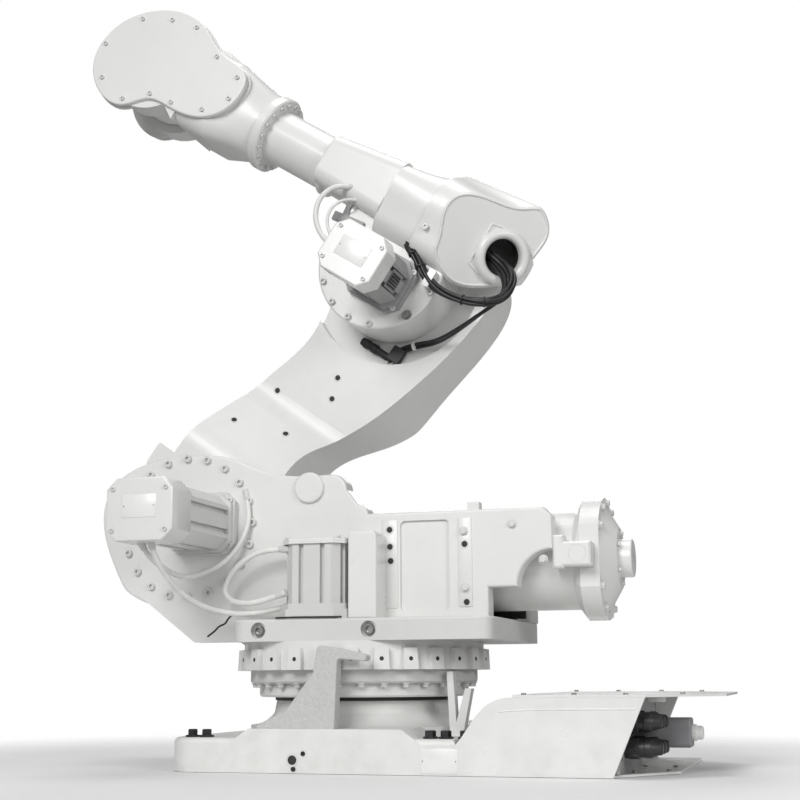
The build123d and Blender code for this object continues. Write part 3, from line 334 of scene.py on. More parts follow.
class Finish:
    def __init__(self, name):
        self.material = bpy.data.materials.new(name)
        self.material.use_nodes = True
        self.tree = self.material.node_tree
        self.tree.nodes.clear()
        self.output = self.tree.nodes.new("ShaderNodeOutputMaterial")
        self.shader = self.tree.nodes.new("ShaderNodeBsdfPrincipled")
        self.tree.links.new(self.shader.outputs[0], self.output.inputs["Surface"])

    def add(self, kind, settings=None, inputs=None, output=0):
        node = self.tree.nodes.new(kind)
        for key, value in (settings or {}).items():
            if key == "stops":
                self.setStops(node.color_ramp.elements, value)
            else:
                setattr(node, key, value)
        for key, value in (inputs or {}).items():
            self.feed(node.inputs[key], value)
        return Wire(self, node.outputs[output])

    def setStops(self, elements, stops):
        while len(elements) < len(stops):
            elements.new(0.5)
        for element, (place, level) in zip(elements, stops):
            element.position, element.color = place, level

    def feed(self, socket, value):
        if isinstance(value, Wire):
            self.tree.links.new(value.socket, socket)
        else:
            socket.default_value = value

    def set(self, **values):
        names = {
            "color": "Base Color", "roughness": "Roughness", "metallic": "Metallic",
            "coat": "Coat Weight", "coatRoughness": "Coat Roughness", "normal": "Normal",
        }
        for key, value in values.items():
            self.feed(self.shader.inputs[names[key]], value)
        return self

    def place(self):
        return self.add("ShaderNodeTexCoord", output="Object")

    def noise(self, scale, detail=3.0, rough=0.5, where=None):
        inputs = {"Vector": where or self.place(), "Scale": scale, "Detail": detail, "Roughness": rough}
        return self.add("ShaderNodeTexNoise", {}, inputs)

    def mix(self, factor, first, second):
        return self.add("ShaderNodeMix", {"data_type": "RGBA"}, {0: factor, 6: first, 7: second}, output=2)

    def ramp(self, factor, low, high):  # black below low, white above high
        stops = [(low, tone(0, 0, 0)), (high, tone(1, 1, 1))]
        return self.add("ShaderNodeValToRGB", {"stops": stops}, {0: factor})

    def bump(self, height, strength, distance):
        inputs = {"Strength": strength, "Distance": distance, "Height": height}
        return self.add("ShaderNodeBump", {}, inputs)

    def height(self, low, high):  # 1 below the low height over the floor, 0 above the high one
        parts = self.add("ShaderNodeSeparateXYZ", {}, {0: self.place()}, output=2)
        return self.add("ShaderNodeMapRange", {"clamp": True}, {0: parts, 1: low, 2: high, 3: 1.0, 4: 0.0})


def tone(r, g, b):
    return (r, g, b, 1.0)


def shaded(color, share):
    return tone(*(share * level for level in color[:3]))


def makePaint(name, color, roughness, castGrain, coat, dust):
    # Enamel over a casting: the casting's soft skin, orange peel, uneven tone, grey dust, small chips, and
    # a greyer tone towards the bottom
    finish = Finish(name)
    cloud = finish.noise(2.6, 4.0)
    hand = finish.noise(14.0, 5.0, 0.6)
    skin = finish.noise(46.0, 4.0, 0.6)
    peel = finish.noise(380.0, 2.0)
    speck = finish.noise(120.0, 3.0, 0.65)
    body = finish.mix(finish.ramp(cloud, 0.30, 0.72), shaded(color, 0.93), color)
    body = finish.mix(finish.ramp(hand, 0.52, 0.80) * dust, body, shaded(color, 0.78))
    body = finish.mix(finish.ramp(speck, 0.70, 0.76) * (0.5 * dust), body, tone(0.30, 0.29, 0.28))
    # Greyer towards the bottom, from 0.34 m down to 0.02 m over the floor
    lowGreying = finish.height(0.02, 0.34) * finish.ramp(hand, 0.36, 0.74) * 0.35
    body = finish.mix(lowGreying, body, tone(0.52, 0.51, 0.49))
    finish.set(
        color=body, roughness=roughness + (hand - 0.5) * 0.20, coat=coat, coatRoughness=0.16,
        normal=finish.bump(peel * 0.18 + skin * castGrain, 0.30, 0.0016),
    )
    return finish.material


def makeRoughCasting(name, color):
    # Sand casting under one thin coat: coarse grains and pits that show through
    finish = Finish(name)
    grain = finish.noise(150.0, 5.0, 0.7)
    lump = finish.noise(36.0, 4.0, 0.6)
    body = finish.mix(finish.ramp(grain, 0.38, 0.66), shaded(color, 0.86), color)
    finish.set(
        color=body, roughness=0.72 + (lump - 0.5) * 0.2,
        normal=finish.bump(grain * 0.7 + lump * 0.6, 0.75, 0.0030),
    )
    return finish.material


def makeMetal(name, color, roughness, metallic, grain):
    finish = Finish(name)
    wear = finish.noise(26.0, 4.0)
    fine = finish.noise(420.0, 2.0)
    body = finish.mix(finish.ramp(wear, 0.34, 0.70), shaded(color, 0.72), color)
    finish.set(
        color=body, roughness=roughness + (wear - 0.5) * 0.22, metallic=metallic,
        normal=finish.bump(fine * 0.5 + wear * 0.5, grain, 0.0008),
    )
    return finish.material


def makeTurnedMetal(name, color):
    # Ground or turned steel: fine rings of tool marks about the axis, stretched noise across it
    finish = Finish(name)
    lines = finish.add("ShaderNodeMapping", {}, {"Vector": finish.place(), "Scale": (1.0, 1.0, 26.0)})
    marks = finish.noise(60.0, 3.0, 0.5, where=lines)
    smear = finish.noise(9.0, 3.0)
    body = finish.mix(marks, shaded(color, 0.80), color)
    finish.set(
        color=body, roughness=0.24 + smear * 0.20, metallic=1.0,
        normal=finish.bump(marks, 0.10, 0.0005),
    )
    return finish.material


def makeMoulded(name, color, roughness, grainScale, grain):
    # Moulded plastic or rubber: fine texture, scuffed a little lighter
    finish = Finish(name)
    fine = finish.noise(grainScale, 3.0)
    scuff = finish.noise(17.0, 5.0, 0.65)
    lighter = tone(*(min(1.0, 1.5 * level + 0.02) for level in color[:3]))
    body = finish.mix(finish.ramp(scuff, 0.50, 0.78) * 0.5, color, lighter)
    finish.set(
        color=body, roughness=roughness + (scuff - 0.5) * 0.22, normal=finish.bump(fine, grain, 0.0006),
    )
    return finish.material


def makeGrime(name):
    # The dark inside of a gap or a bore: painted shade, near black, mottled with black grease and dust
    finish = Finish(name)
    lump = finish.noise(60.0, 4.0)
    body = finish.mix(lump, tone(0.012, 0.012, 0.012), tone(0.045, 0.043, 0.040))
    finish.set(color=body, roughness=0.55 + lump * 0.25, normal=finish.bump(lump, 0.3, 0.001))
    return finish.material


armWhite = tone(0.80, 0.80, 0.785)
finishes = {
    "paint": makePaint("armEnamel", armWhite, 0.34, 0.30, 0.25, 0.10),
    "castPaint": makePaint("castingEnamel", tone(0.79, 0.79, 0.775), 0.40, 0.75, 0.18, 0.16),
    "footPaint": makePaint("footEnamel", tone(0.77, 0.77, 0.755), 0.44, 0.85, 0.12, 0.24),
    "platePaint": makePaint("plateEnamel", tone(0.68, 0.68, 0.67), 0.40, 0.60, 0.20, 0.20),
    "sheetPaint": makePaint("sheetEnamel", tone(0.80, 0.80, 0.785), 0.30, 0.08, 0.30, 0.10),
    "motorPaint": makePaint("motorEnamel", tone(0.66, 0.66, 0.65), 0.46, 0.25, 0.05, 0.16),
    # Dark grey enamel of the motor body, also used as painted shade
    "darkGreyAndShade": makePaint("darkGreyEnamelAndShade", tone(0.36, 0.36, 0.36), 0.50, 0.35, 0.0, 0.20),
    "roughGrey": makeRoughCasting("roughCasting", tone(0.58, 0.58, 0.57)),
    "bareLabel": makePaint("bareLabelPlate", tone(0.86, 0.86, 0.85), 0.28, 0.02, 0.1, 0.04),
    "boltBlack": makeMetal("blackedSteel", tone(0.028, 0.028, 0.030), 0.46, 0.30, 0.14),
    "boltSteel": makeMetal("zincSteel", tone(0.46, 0.46, 0.45), 0.34, 0.95, 0.10),
    "paintedScrew": makePaint("paintedScrew", tone(0.70, 0.70, 0.69), 0.40, 0.12, 0.1, 0.22),
    "machined": makeTurnedMetal("machinedSteel", tone(0.62, 0.62, 0.61)),
    "blackPlastic": makeMoulded("blackPlastic", tone(0.020, 0.020, 0.022), 0.42, 300.0, 0.10),
    "greyPlastic": makeMoulded("greyPlastic", tone(0.25, 0.25, 0.26), 0.50, 260.0, 0.14),
    "blackJacket": makeMoulded("blackCableJacket", tone(0.014, 0.014, 0.015), 0.38, 220.0, 0.16),
    "whiteJacket": makeMoulded("whiteCableJacket", tone(0.74, 0.74, 0.72), 0.40, 220.0, 0.10),
    "shadeAndGrime": makeGrime("gapShadeAndGrime"),
}
print("finishes made:", len(finishes))

nodeFinish = {  # every other node has the plain paint
    "machined": ("tool_flange", "balancer_rod", "balancer_pin",),
    # Dark grey: the motor body's own colour, and painted shade on the connector panel inside the box
    "darkGreyAndShade": ("connector_panel", "axis_3_motor",),
    "blackPlastic": ("arm_connectors", "signal_connectors",),
    "greyPlastic": ("power_connector_hood",),
    "blackJacket": ("elbow_harness",),
    "whiteJacket": (
        "axis_3_motor_cable", "axis_2_motor_cable", "axis_2_signal_cable", "axis_1_motor_cable",
    ),
    "bareLabel": ("harness_clamp",),
    "motorPaint": ("axis_1_motor", "axis_2_motor", "axis_1_bearing_ring",),
    "sheetPaint": (
        "axis_1_motor_cap", "axis_2_motor_cap", "axis_3_motor_cap", "axis_1_motor_box",
        "connector_box_lid", "connector_box_wall_left", "connector_box_wall_right",
        "connector_box_floor", "strut_bracket",
    ),
    "castPaint": ("lower_arm", "frame_wall_left", "frame_wall_right", "turntable_ring",),
    "platePaint": ("turntable_plate",),
    "footPaint": ("base_casting",),
    "roughGrey": ("stop_bracket",),
}
finishOf = {node: finishName for finishName, nodes in nodeFinish.items() for node in nodes}
for nodeName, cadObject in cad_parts.items():
    paintPiece(cadObject, finishOf.get(nodeName, "paint"))


# Screws: a socket head, a hexagon head on its washer, and a plain hole plug, each modelled once
def makeSocketScrew(name, headRadius, headHeight, finishName="paintedScrew"):
    socket = headRadius * 0.52
    screw = turned(name, 18, [
        (headRadius * 0.96, 0.0), (headRadius, headHeight * 0.12), (headRadius, headHeight * 0.82),
        (headRadius * 0.88, headHeight), (socket, headHeight), (socket * 0.94, headHeight * 0.35),
    ])
    return smoothByAngle(paintPiece(screw, finishName), 40)


def makeHexBolt(name, headRadius, headHeight, finishName):
    washer = turned(name + "Washer", 24, [
        (headRadius * 1.35, 0.0),
        (headRadius * 1.38, headHeight * 0.16),
        (headRadius * 1.28, headHeight * 0.24),
    ])
    head = turned(name, 6, [
        (headRadius, headHeight * 0.2), (headRadius, headHeight * 0.9), (headRadius * 0.82, headHeight),
    ])
    paintPiece(washer, finishName)
    paintPiece(head, finishName)
    return smoothByAngle(joinPieces([head, washer], name), 30)


def makeDarkHole(name, radius):  # the mouth of a threaded hole: a light rim and a dark bottom
    rim = turned(name, 20, [
        (radius * 1.5, 0.0), (radius * 1.45, 0.0012), (radius * 1.05, 0.0014), (radius, 0.0006),
    ])
    # The near-black floor disc is painted shade at the bottom of the hole
    floor = turned(name + "Floor", 20, [(radius * 1.02, 0.0005), (radius * 0.9, 0.0009)])
    paintPiece(rim, "paintedScrew")
    paintPiece(floor, "shadeAndGrime")
    return smoothByAngle(joinPieces([rim, floor], name), 40)


shoulderScrews = {"circle": 0.206, "count": 20, "firstAngle": 88.0, "head": (0.0115, 0.011)}
screw = makeSocketScrew("shoulderScrew", *shoulderScrews["head"])
middle = shoulderPoint + armLayout["wallFace"] * leftward
places = ringPlaces(middle, sideways, upright, shoulderScrews, leftward, 13)
copyTo(screw, places, "shoulder_flange_screws", "frame")
bearingScrews = {"circle": 0.186, "count": 16, "face": -0.234}
middle = shoulderPoint + bearingScrews["face"] * leftward
places = ringPlaces(middle, sideways, upright, bearingScrews, -leftward, 29)
useUp(screw, places, "shoulder_bearing_screws", "frame")

hubScrews = {
    "circle": 0.187, "headRadius": 0.010,
    "angles": (-180, -112.5, -90, -67.5, -45, -22.5, 0, 22.5),
}
screw = makeSocketScrew("hubScrew", hubScrews["headRadius"], 0.010)
places = []
for angle in hubScrews["angles"]:
    t = hubScrews["circle"] * math.cos(math.radians(angle))
    n = hubScrews["circle"] * math.sin(math.radians(angle))
    places.append(upperFace(t, armLayout["hubFace"], n, 7 * angle))
useUp(screw, places, "elbow_hub_screws", "upper_arm")
hubBolt = {"t": -0.161, "n": -0.093, "headRadius": 0.011}
bolt = makeHexBolt("hubBolt", hubBolt["headRadius"], 0.016, "boltSteel")
places = [upperFace(hubBolt["t"], armLayout["hubFace"], hubBolt["n"])]
useUp(bolt, places, "elbow_hub_stop_bolt", "upper_arm")

# Screws of the wrist covers, set a little in from the edge all round
coverScrews = {
    "left": 0.164, "headRadius": 0.0075,
    "spots": (
        (1.178, 0.076), (1.236, 0.180), (1.162, 0.310), (1.060, 0.352), (0.965, 0.368), (0.842, 0.314),
        (0.736, 0.286), (0.722, 0.214), (0.786, 0.142), (0.900, 0.114), (0.986, 0.106), (1.066, 0.048),
    ),
}
screw = makeSocketScrew("coverScrew", coverScrews["headRadius"], 0.007)
places = [upperFace(t, coverScrews["left"], n, 500 * t) for t, n in coverScrews["spots"]]
copyTo(screw, places, "wrist_cover_left_screws", "tube")
places = [
    facing(upperPoint(t, -coverScrews["left"], n), -leftward, 500 * t) for t, n in coverScrews["spots"]
]
useUp(screw, places, "wrist_cover_right_screws", "tube")

wristRing = {"place": 0.588, "circle": 0.109, "count": 18, "headRadius": 0.0065}
screw = makeSocketScrew("wristRingScrew", wristRing["headRadius"], 0.007)
middle = upperPoint(wristRing["place"], 0, armLayout["tubeOffset"])
places = ringPlaces(middle, leftward, upperUp, wristRing, -upperAlong, 17)
useUp(screw, places, "wrist_ring_screws", "tube")
toolScrews = {"place": 1.234, "circle": 0.100, "count": 12, "firstAngle": 15.0, "headRadius": 0.006}
screw = makeSocketScrew("toolScrew", toolScrews["headRadius"], 0.006, "boltSteel")
middle = upperPoint(toolScrews["place"], 0, armLayout["tubeOffset"])
places = ringPlaces(middle, leftward, upperUp, toolScrews, -upperAlong, 31)
useUp(screw, places, "tool_flange_screws", "tool")
print("arm screws placed")

# Bolts and plugged holes on the frame walls, and in the recesses of the plate
wallBolts = {
    "bolts": ((-0.363, 0.645), (-0.366, 0.488), (-0.500, 0.660), (-0.585, 0.560)),
    "holes": (
        (-0.147, 0.656), (-0.148, 0.608), (-0.150, 0.568),
        (-0.365, 0.609), (-0.369, 0.449), (0.640, 0.560),
    ),
    "headRadius": 0.0095, "holeRadius": 0.0085,
}
# Two raised strips carry most of them; the strips and what is on them stand a little proud of the wall
wallStrips = {
    "along": (-0.148, -0.366), "widths": (0.046, 0.040), "from": 0.436, "to": 0.684,
    "height": 0.0035, "sunk": 0.004,
}
strips = []
for x, width in zip(wallStrips["along"], wallStrips["widths"]):
    long = wallStrips["to"] - wallStrips["from"]
    strip = block("wallStrip", (width, long, wallStrips["height"] + wallStrips["sunk"]), 0.0030)
    middle = (wallStrips["from"] + wallStrips["to"]) / 2
    putAt(strip, facing((x, armLayout["wallFace"] - wallStrips["sunk"], middle), leftward))
    paintPiece(strip, "castPaint")
    strips.append(strip)
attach(smoothByAngle(joinPieces(strips, "frame_wall_strips"), 35), "frame")


def onWall(x):  # how far out the wall or one of its strips stands at this place
    near = any(abs(x - middle) < 0.02 for middle in wallStrips["along"])
    return armLayout["wallFace"] + (wallStrips["height"] if near else 0)


bolt = makeHexBolt("wallBolt", wallBolts["headRadius"], 0.010, "paintedScrew")
places = [facing((x, onWall(x), z), leftward, 90 * x) for x, z in wallBolts["bolts"]]
copyTo(bolt, places, "frame_wall_bolts", "frame")
rightPlaces = [facing((x, -armLayout["wallFace"], z), -leftward, 90 * x) for x, z in wallBolts["bolts"]]
useUp(bolt, rightPlaces, "frame_wall_right_bolts", "frame")
hole = makeDarkHole("wallHole", wallBolts["holeRadius"])
places = [facing((x, onWall(x), z), leftward) for x, z in wallBolts["holes"]]
copyTo(hole, places, "frame_wall_holes", "frame")
plugs = {
    "spots": ((0.470, -0.130), (0.545, 0.043), (0.610, 0.020)), "face": -0.060,
    "slopeSpots": ((0.322, 0.026, -0.160), (0.375, -0.016, -0.005)),
}
armHoles = [facing(lowerPoint(s, plugs["face"], w), leftward) for s, w in plugs["spots"]]
slopeOut = (0.625 * lowerAlong + 0.781 * leftward).normalized()
armHoles += [facing(lowerPoint(*spot), slopeOut) for spot in plugs["slopeSpots"]]
useUp(hole, armHoles, "lower_arm_holes", "lower_arm")
slabBolts = {"spots": ((0.202, 0.3768), (-0.121, 0.3768)), "depth": 0.318, "headRadius": 0.0155}
bolt = makeSocketScrew("slabBolt", slabBolts["headRadius"], 0.013, "boltSteel")
places = [facing((x, slabBolts["depth"], z), leftward) for x, z in slabBolts["spots"]]
useUp(bolt, places, "turntable_plate_bolts", "frame")

# Hexagon heads under the bearing ring
neckBolts = {"circle": 0.3190, "count": 32, "firstAngle": 5.625, "height": 0.232, "headRadius": 0.0092}
bolt = makeHexBolt("neckBolt", neckBolts["headRadius"], 0.012, "paintedScrew")
places = ringPlaces(neckBolts["height"] * upright, sideways, leftward, neckBolts, (0, 0, -1), 11)
useUp(bolt, places, "bearing_ring_bolts", "foot")

# Foundation bolts: squat black heads, in pairs at the front and rear of the foot
anchors = {
    "along": (0.373, 0.331, -0.306, -0.348, -0.400), "side": 0.372, "height": 0.090,
    "headRadius": 0.0145, "headHeight": 0.021,
}
bolt = makeHexBolt("anchorBolt", anchors["headRadius"], anchors["headHeight"], "boltBlack")
places = []
for x in anchors["along"]:
    for side in (-1, 1):
        places.append(facing((x, side * anchors["side"], anchors["height"]), (0, 0, 1), 70 * x))
useUp(bolt, places, "foundation_bolts", "foot")
print("frame and foot bolts placed")

# Balancer: bolts round its rear cover and its boss, and the port in the boss
balancerBolts = {"face": -0.728, "height": 0.574, "circle": 0.1585, "angles": (32, 61, 90, 119, 148)}
bolt = makeHexBolt("balancerBolt", 0.0095, 0.012, "paintedScrew")
places = []
for angle in balancerBolts["angles"] + tuple(-angle for angle in balancerBolts["angles"]):
    y = balancerBolts["circle"] * math.cos(math.radians(angle))
    z = balancerBolts["height"] + balancerBolts["circle"] * math.sin(math.radians(angle))
    places.append(facing((balancerBolts["face"], y, z), (-1, 0, 0), 3 * angle))
useUp(bolt, places, "balancer_cover_bolts", "balancer")
bossBolts = {
    "face": -0.7675, "circle": 0.0705, "count": 6, "firstAngle": 30.0, "headRadius": 0.0068,
    "port": -0.7905,
}
bolt = makeHexBolt("bossBolt", bossBolts["headRadius"], 0.008, "paintedScrew")
middle = Vector((bossBolts["face"], 0, balancerBolts["height"]))
places = ringPlaces(middle, leftward, upright, bossBolts, (-1, 0, 0), 23)
useUp(bolt, places, "balancer_boss_bolts", "balancer")
# The port is a shallow near-black dish: painted shade in its mouth
port = turned("bossPort", 24, [(0.0148, 0.0), (0.0148, 0.002), (0.0080, 0.0035), (0.0072, 0.0015)])
smoothByAngle(paintPiece(port, "shadeAndGrime"), 35)
places = [facing((bossBolts["port"], 0, balancerBolts["height"]), (-1, 0, 0))]
useUp(port, places, "balancer_boss_port", "balancer")


# Motors: four corner screws in the flange and in the cap, a bare plate on the cap and plug sockets
def motorScrews(name, center, turn, halfSize, headRadius, body):
    screw = makeSocketScrew(name + "Screw", headRadius, headRadius * 0.9)
    out, right, up = turn
    corners = [(sx * halfSize[0], sy * halfSize[1]) for sx in (-1, 1) for sy in (-1, 1)]
    places = [facing(center + x * right + y * up, out) for x, y in corners]
    useUp(screw, places, name, body)


frameTurns = (leftward, sideways, upright)
armTurns = (leftward, upperAlong, upperUp)
shoulderMotor = {"center": (0.424, 0.6305, 0.692), "flange": 0.238, "capFrom": 0.517, "capTo": 0.637}
center = Vector(shoulderMotor["center"])
capShare = (center.y - shoulderMotor["capFrom"]) / (shoulderMotor["capTo"] - shoulderMotor["capFrom"])
capFoot = (0, shoulderMotor["capFrom"], 0)
cap = reshaped("axis_2_motor_cap_shell", "axis_2_motor_cap", (1, capShare, 1), capFoot)
paintPiece(cap, "sheetPaint")
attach(smoothByAngle(cap, 30), "frame")
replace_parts(cap, "axis_2_motor_cap")
motorScrews("axis_2_motor_cap_screws", center, frameTurns, (0.078, 0.056), 0.0065, "frame")
flangeCenter = Vector((center.x, shoulderMotor["flange"], center.z))
motorScrews("axis_2_motor_flange_screws", flangeCenter, frameTurns, (0.090, 0.066), 0.0085, "frame")
elbowMotor = {"t": -0.034, "n": -0.036, "capFace": 0.390, "flangeFace": 0.126}
center = upperPoint(elbowMotor["t"], elbowMotor["capFace"], elbowMotor["n"])
motorScrews("axis_3_motor_cap_screws", center, armTurns, (0.073, 0.051), 0.0065, "upper_arm")
flangeCenter = upperPoint(elbowMotor["t"], elbowMotor["flangeFace"], elbowMotor["n"])
motorScrews("axis_3_motor_flange_screws", flangeCenter, armTurns, (0.087, 0.062), 0.0085, "upper_arm")
center = Vector((0.050, 0.272, 0.6313))
topTurns = (upright, sideways, leftward)
motorScrews("axis_1_motor_cap_screws", center, topTurns, (0.076, 0.034), 0.0060, "frame")


def makeBarePlate(name, width, height):  # a thin plate with nothing on it, on two rivets
    plate = block(name, (width, height, 0.0016), 0.0005)
    rivets = []
    for side in (-1, 1):
        rivet = turned(name + "Rivet", 12, [(0.0024, 0.0016), (0.0022, 0.0024), (0.0012, 0.0028)])
        rivet.location = (side * (width / 2 - 0.006), 0, 0)
        settle(rivet)
        paintPiece(rivet, "boltSteel")
        rivets.append(rivet)
    paintPiece(plate, "bareLabel")
    return smoothByAngle(joinPieces([plate] + rivets, name), 30)


plate = makeBarePlate("barePlate", 0.100, 0.062)
copyTo(plate, [facing((-0.342, 0.421, 0.036), leftward)], "foot_bare_plate", "foot")
places = [facing((0.424, shoulderMotor["center"][1], 0.700), leftward)]
copyTo(plate, places, "axis_2_motor_bare_plate", "frame")
useUp(plate, [upperFace(-0.034, 0.390, -0.032)], "axis_3_motor_bare_plate", "upper_arm")


def makePlugSocket(name):  # round angled socket of a servo motor: foot plate, body, coupling nut with grips
    foot = block(name + "Foot", (0.034, 0.034, 0.006), 0.002)
    body = turned(name, 24, [
        (0.0135, 0.005), (0.0135, 0.018), (0.0160, 0.020), (0.0160, 0.036), (0.0120, 0.038),
    ])
    addGrips(body, 0.022, 1.0, 0.0008, 1.07)
    paintPiece(foot, "motorPaint")
    paintPiece(body, "motorPaint")
    return smoothByAngle(joinPieces([body, foot], name), 35)


socket = makePlugSocket("motorSocket")
places = [facing(upperPoint(0.059, 0.210 + side * 0.040, -0.030), upperAlong) for side in (0, 1)]
useUp(socket, places, "axis_3_motor_sockets", "upper_arm")
print("motors dressed")


# Cables: each one smooth line through its route, strands side by side where it is a bundle
def edgeMiddle(points, index):  # the place on a smooth line between two of its points, Z along the cable
    return facing((points[index] + points[index + 1]) / 2, points[index + 1] - points[index])


def bundle(name, points, spread, radius, finishName, count, twist):
    strands = []
    for index in range(count):
        shifted = []
        for place, point in enumerate(points):
            run = (points[min(place + 1, len(points) - 1)] - points[max(place - 1, 0)]).normalized()
            side = run.cross(leftward).normalized()
            lift = run.cross(side)
            angle = 2 * math.pi * index / count + twist * place
            shifted.append(point + spread * (math.cos(angle) * side + math.sin(angle) * lift))
        strands.append(strand(name + str(index), shifted, radius, finishName, None))
    return joinPieces(strands, name)


def makeTie(name, radius, width, finishName):  # a cable tie: a thin band with its square lock
    band = turned(name, 20, [
        (radius, -width / 2), (radius + 0.001, -width / 2 + 0.0004),
        (radius + 0.001, width / 2 - 0.0004), (radius, width / 2),
    ])
    lock = block(name + "Lock", (0.006, 0.005, 0.004), 0.0008)
    lock.location = (radius + 0.001, 0, -0.002)
    settle(lock)
    for part in (band, lock):
        paintPiece(part, finishName)
    return smoothByAngle(joinPieces([band, lock], name), 35)


harness = {
    "strands": 4, "strandRadius": 0.0062, "spread": 0.0085, "twist": 0.55,
    "route": (
        (-0.236, 0.026, 0.200), (-0.290, 0.030, 0.196), (-0.336, 0.040, 0.186), (-0.378, 0.064, 0.160),
        (-0.398, 0.096, 0.116), (-0.384, 0.118, 0.070), (-0.330, 0.126, 0.036), (-0.262, 0.127, 0.018),
        (-0.200, 0.126, 0.018), (-0.148, 0.124, 0.038), (-0.104, 0.120, 0.066), (-0.060, 0.117, 0.084),
        (-0.030, 0.100, 0.108), (-0.012, 0.068, 0.130), (-0.002, 0.050, 0.142),
    ),
}
route = [upperPoint(*spot) for spot in harness["route"]]
piece = bundle(
    "elbow_harness_strands", route, harness["spread"], harness["strandRadius"], "blackJacket",
    harness["strands"], harness["twist"],
)
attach(piece, "upper_arm")
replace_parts(piece, "elbow_harness")
tie = makeTie("harnessTie", 0.0152, 0.005, "blackPlastic")
useUp(tie, [edgeMiddle(route, index) for index in (5, 6, 9, 10)], "elbow_harness_ties", "upper_arm")

# The branch of the harness that goes down past the elbow to the plug on the lower arm
branch = {
    "strands": 2, "strandRadius": 0.0058, "spread": 0.0056, "twist": 0.3,
    "route": (
        (-0.240, 0.016, 0.186), (-0.316, 0.036, 0.172), (-0.368, 0.062, 0.134), (-0.378, 0.074, 0.084),
        (-0.350, 0.068, 0.030), (-0.314, 0.046, -0.030), (-0.268, 0.000, -0.084), (-0.224, -0.048, -0.116),
        (-0.182, -0.074, -0.140), (-0.150, -0.079, -0.168), (-0.132, -0.079, -0.192),
    ),
    "start": 4, "end": 8,
}
route = [upperPoint(*spot) for spot in branch["route"]]
piece = bundle(
    "elbow_harness_lower_branch", route, branch["spread"], branch["strandRadius"], "blackJacket",
    branch["strands"], branch["twist"],
)
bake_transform(piece)
tie = makeTie("branchTie", 0.0130, 0.010, "bareLabel")
useUp(tie, [edgeMiddle(route, 8)], "lower_branch_clip", "lower_arm")

whiteCables = {
    "axis_3_motor_cable": (0.008, "upper_arm", [upperPoint(*spot) for spot in (
        (0.044, 0.210, -0.022), (0.104, 0.208, -0.036), (0.168, 0.204, -0.024), (0.220, 0.200, 0.012),
        (0.246, 0.196, 0.066), (0.240, 0.182, 0.118), (0.214, 0.158, 0.150), (0.190, 0.124, 0.166),
    )]),
    "axis_2_motor_cable": (0.008, "frame", [Vector(spot) for spot in (
        (0.418, 0.575, 0.618), (0.412, 0.556, 0.572), (0.401, 0.512, 0.524), (0.386, 0.448, 0.480),
        (0.360, 0.384, 0.448), (0.322, 0.326, 0.430), (0.270, 0.290, 0.424), (0.206, 0.276, 0.430),
        (0.128, 0.272, 0.446),
    )]),
    "axis_2_signal_cable": (0.0075, "frame", [Vector(spot) for spot in (
        (0.456, 0.560, 0.618), (0.446, 0.538, 0.580), (0.424, 0.492, 0.548), (0.402, 0.432, 0.524),
        (0.388, 0.368, 0.528), (0.366, 0.314, 0.546), (0.334, 0.268, 0.574), (0.300, 0.242, 0.622),
        (0.278, 0.228, 0.686), (0.284, 0.222, 0.744), (0.300, 0.204, 0.790),
    )]),
    "axis_1_motor_cable": (0.008, "frame", [Vector(spot) for spot in (
        (0.128, 0.286, 0.604), (0.190, 0.290, 0.606), (0.250, 0.288, 0.588), (0.302, 0.286, 0.548),
        (0.330, 0.284, 0.494), (0.308, 0.292, 0.464), (0.258, 0.306, 0.452), (0.196, 0.312, 0.458),
        (0.128, 0.310, 0.482),
    )]),
}
gland = turned("cableGland", 6, [(0.0120, 0.0), (0.0125, 0.001), (0.0125, 0.008), (0.0115, 0.009)])
collar = turned("cableGlandCollar", 20, [
    (0.0112, 0.008), (0.0112, 0.014), (0.0104, 0.016), (0.0096, 0.024), (0.0086, 0.030), (0.0080, 0.031),
])
for part in (gland, collar):
    paintPiece(part, "motorPaint")
gland = smoothByAngle(joinPieces([gland, collar], "cableGland"), 30)
for nodeName, (radius, body, route) in whiteCables.items():
    piece = strand(nodeName + "_line", route, radius, "whiteJacket", body)
    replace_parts(piece, nodeName)
    ends = [facing(route[0], route[1] - route[0]), facing(route[-1], route[-2] - route[-1])]
    copyTo(gland, ends, nodeName + "_glands", body)
discard(gland)
lead = [upperPoint(*spot) for spot in (
    (0.036, 0.176, -0.006), (0.090, 0.170, -0.022), (0.150, 0.168, -0.012), (0.196, 0.166, 0.020),
    (0.214, 0.162, 0.066), (0.200, 0.152, 0.108), (0.168, 0.136, 0.132), (0.150, 0.118, 0.140),
)]
strand("axis_3_motor_sense_lead", lead, 0.0050, "whiteJacket", "upper_arm")
print("cables laid")

# The lip of the cable hole: a thick rounded ring on the slanted face of the rear cap, over a bore painted
# near black as shade
cableLip = {
    "faceNear": (-0.125, 0.157), "faceFar": (-0.383, -0.050), "middle": 0.022, "up": 0.207,
    "bore": 0.056, "depth": 0.050,
    "plugRadius": 0.0798, "plugFrom": -0.2305, "plugTo": -0.3715, "plugY": 0.030,
}
(nearT, nearY), (farT, farY) = cableLip["faceNear"], cableLip["faceFar"]
alongFace = ((farT - nearT) * upperAlong + (farY - nearY) * leftward).normalized()
outOfFace = alongFace.cross(upperUp).normalized()
outOfFace = outOfFace if outOfFace.dot(upperAlong) < 0 else -outOfFace
lipT = nearT + (cableLip["middle"] - nearY) * (farT - nearT) / (farY - nearY)
lipPlace = facing(upperPoint(lipT, cableLip["middle"], cableLip["up"]), outOfFace)
plugLength = cableLip["plugFrom"] - cableLip["plugTo"]
plug = turned("cable_hole_plug", 64, [(cableLip["plugRadius"], 0.0), (cableLip["plugRadius"], plugLength)])
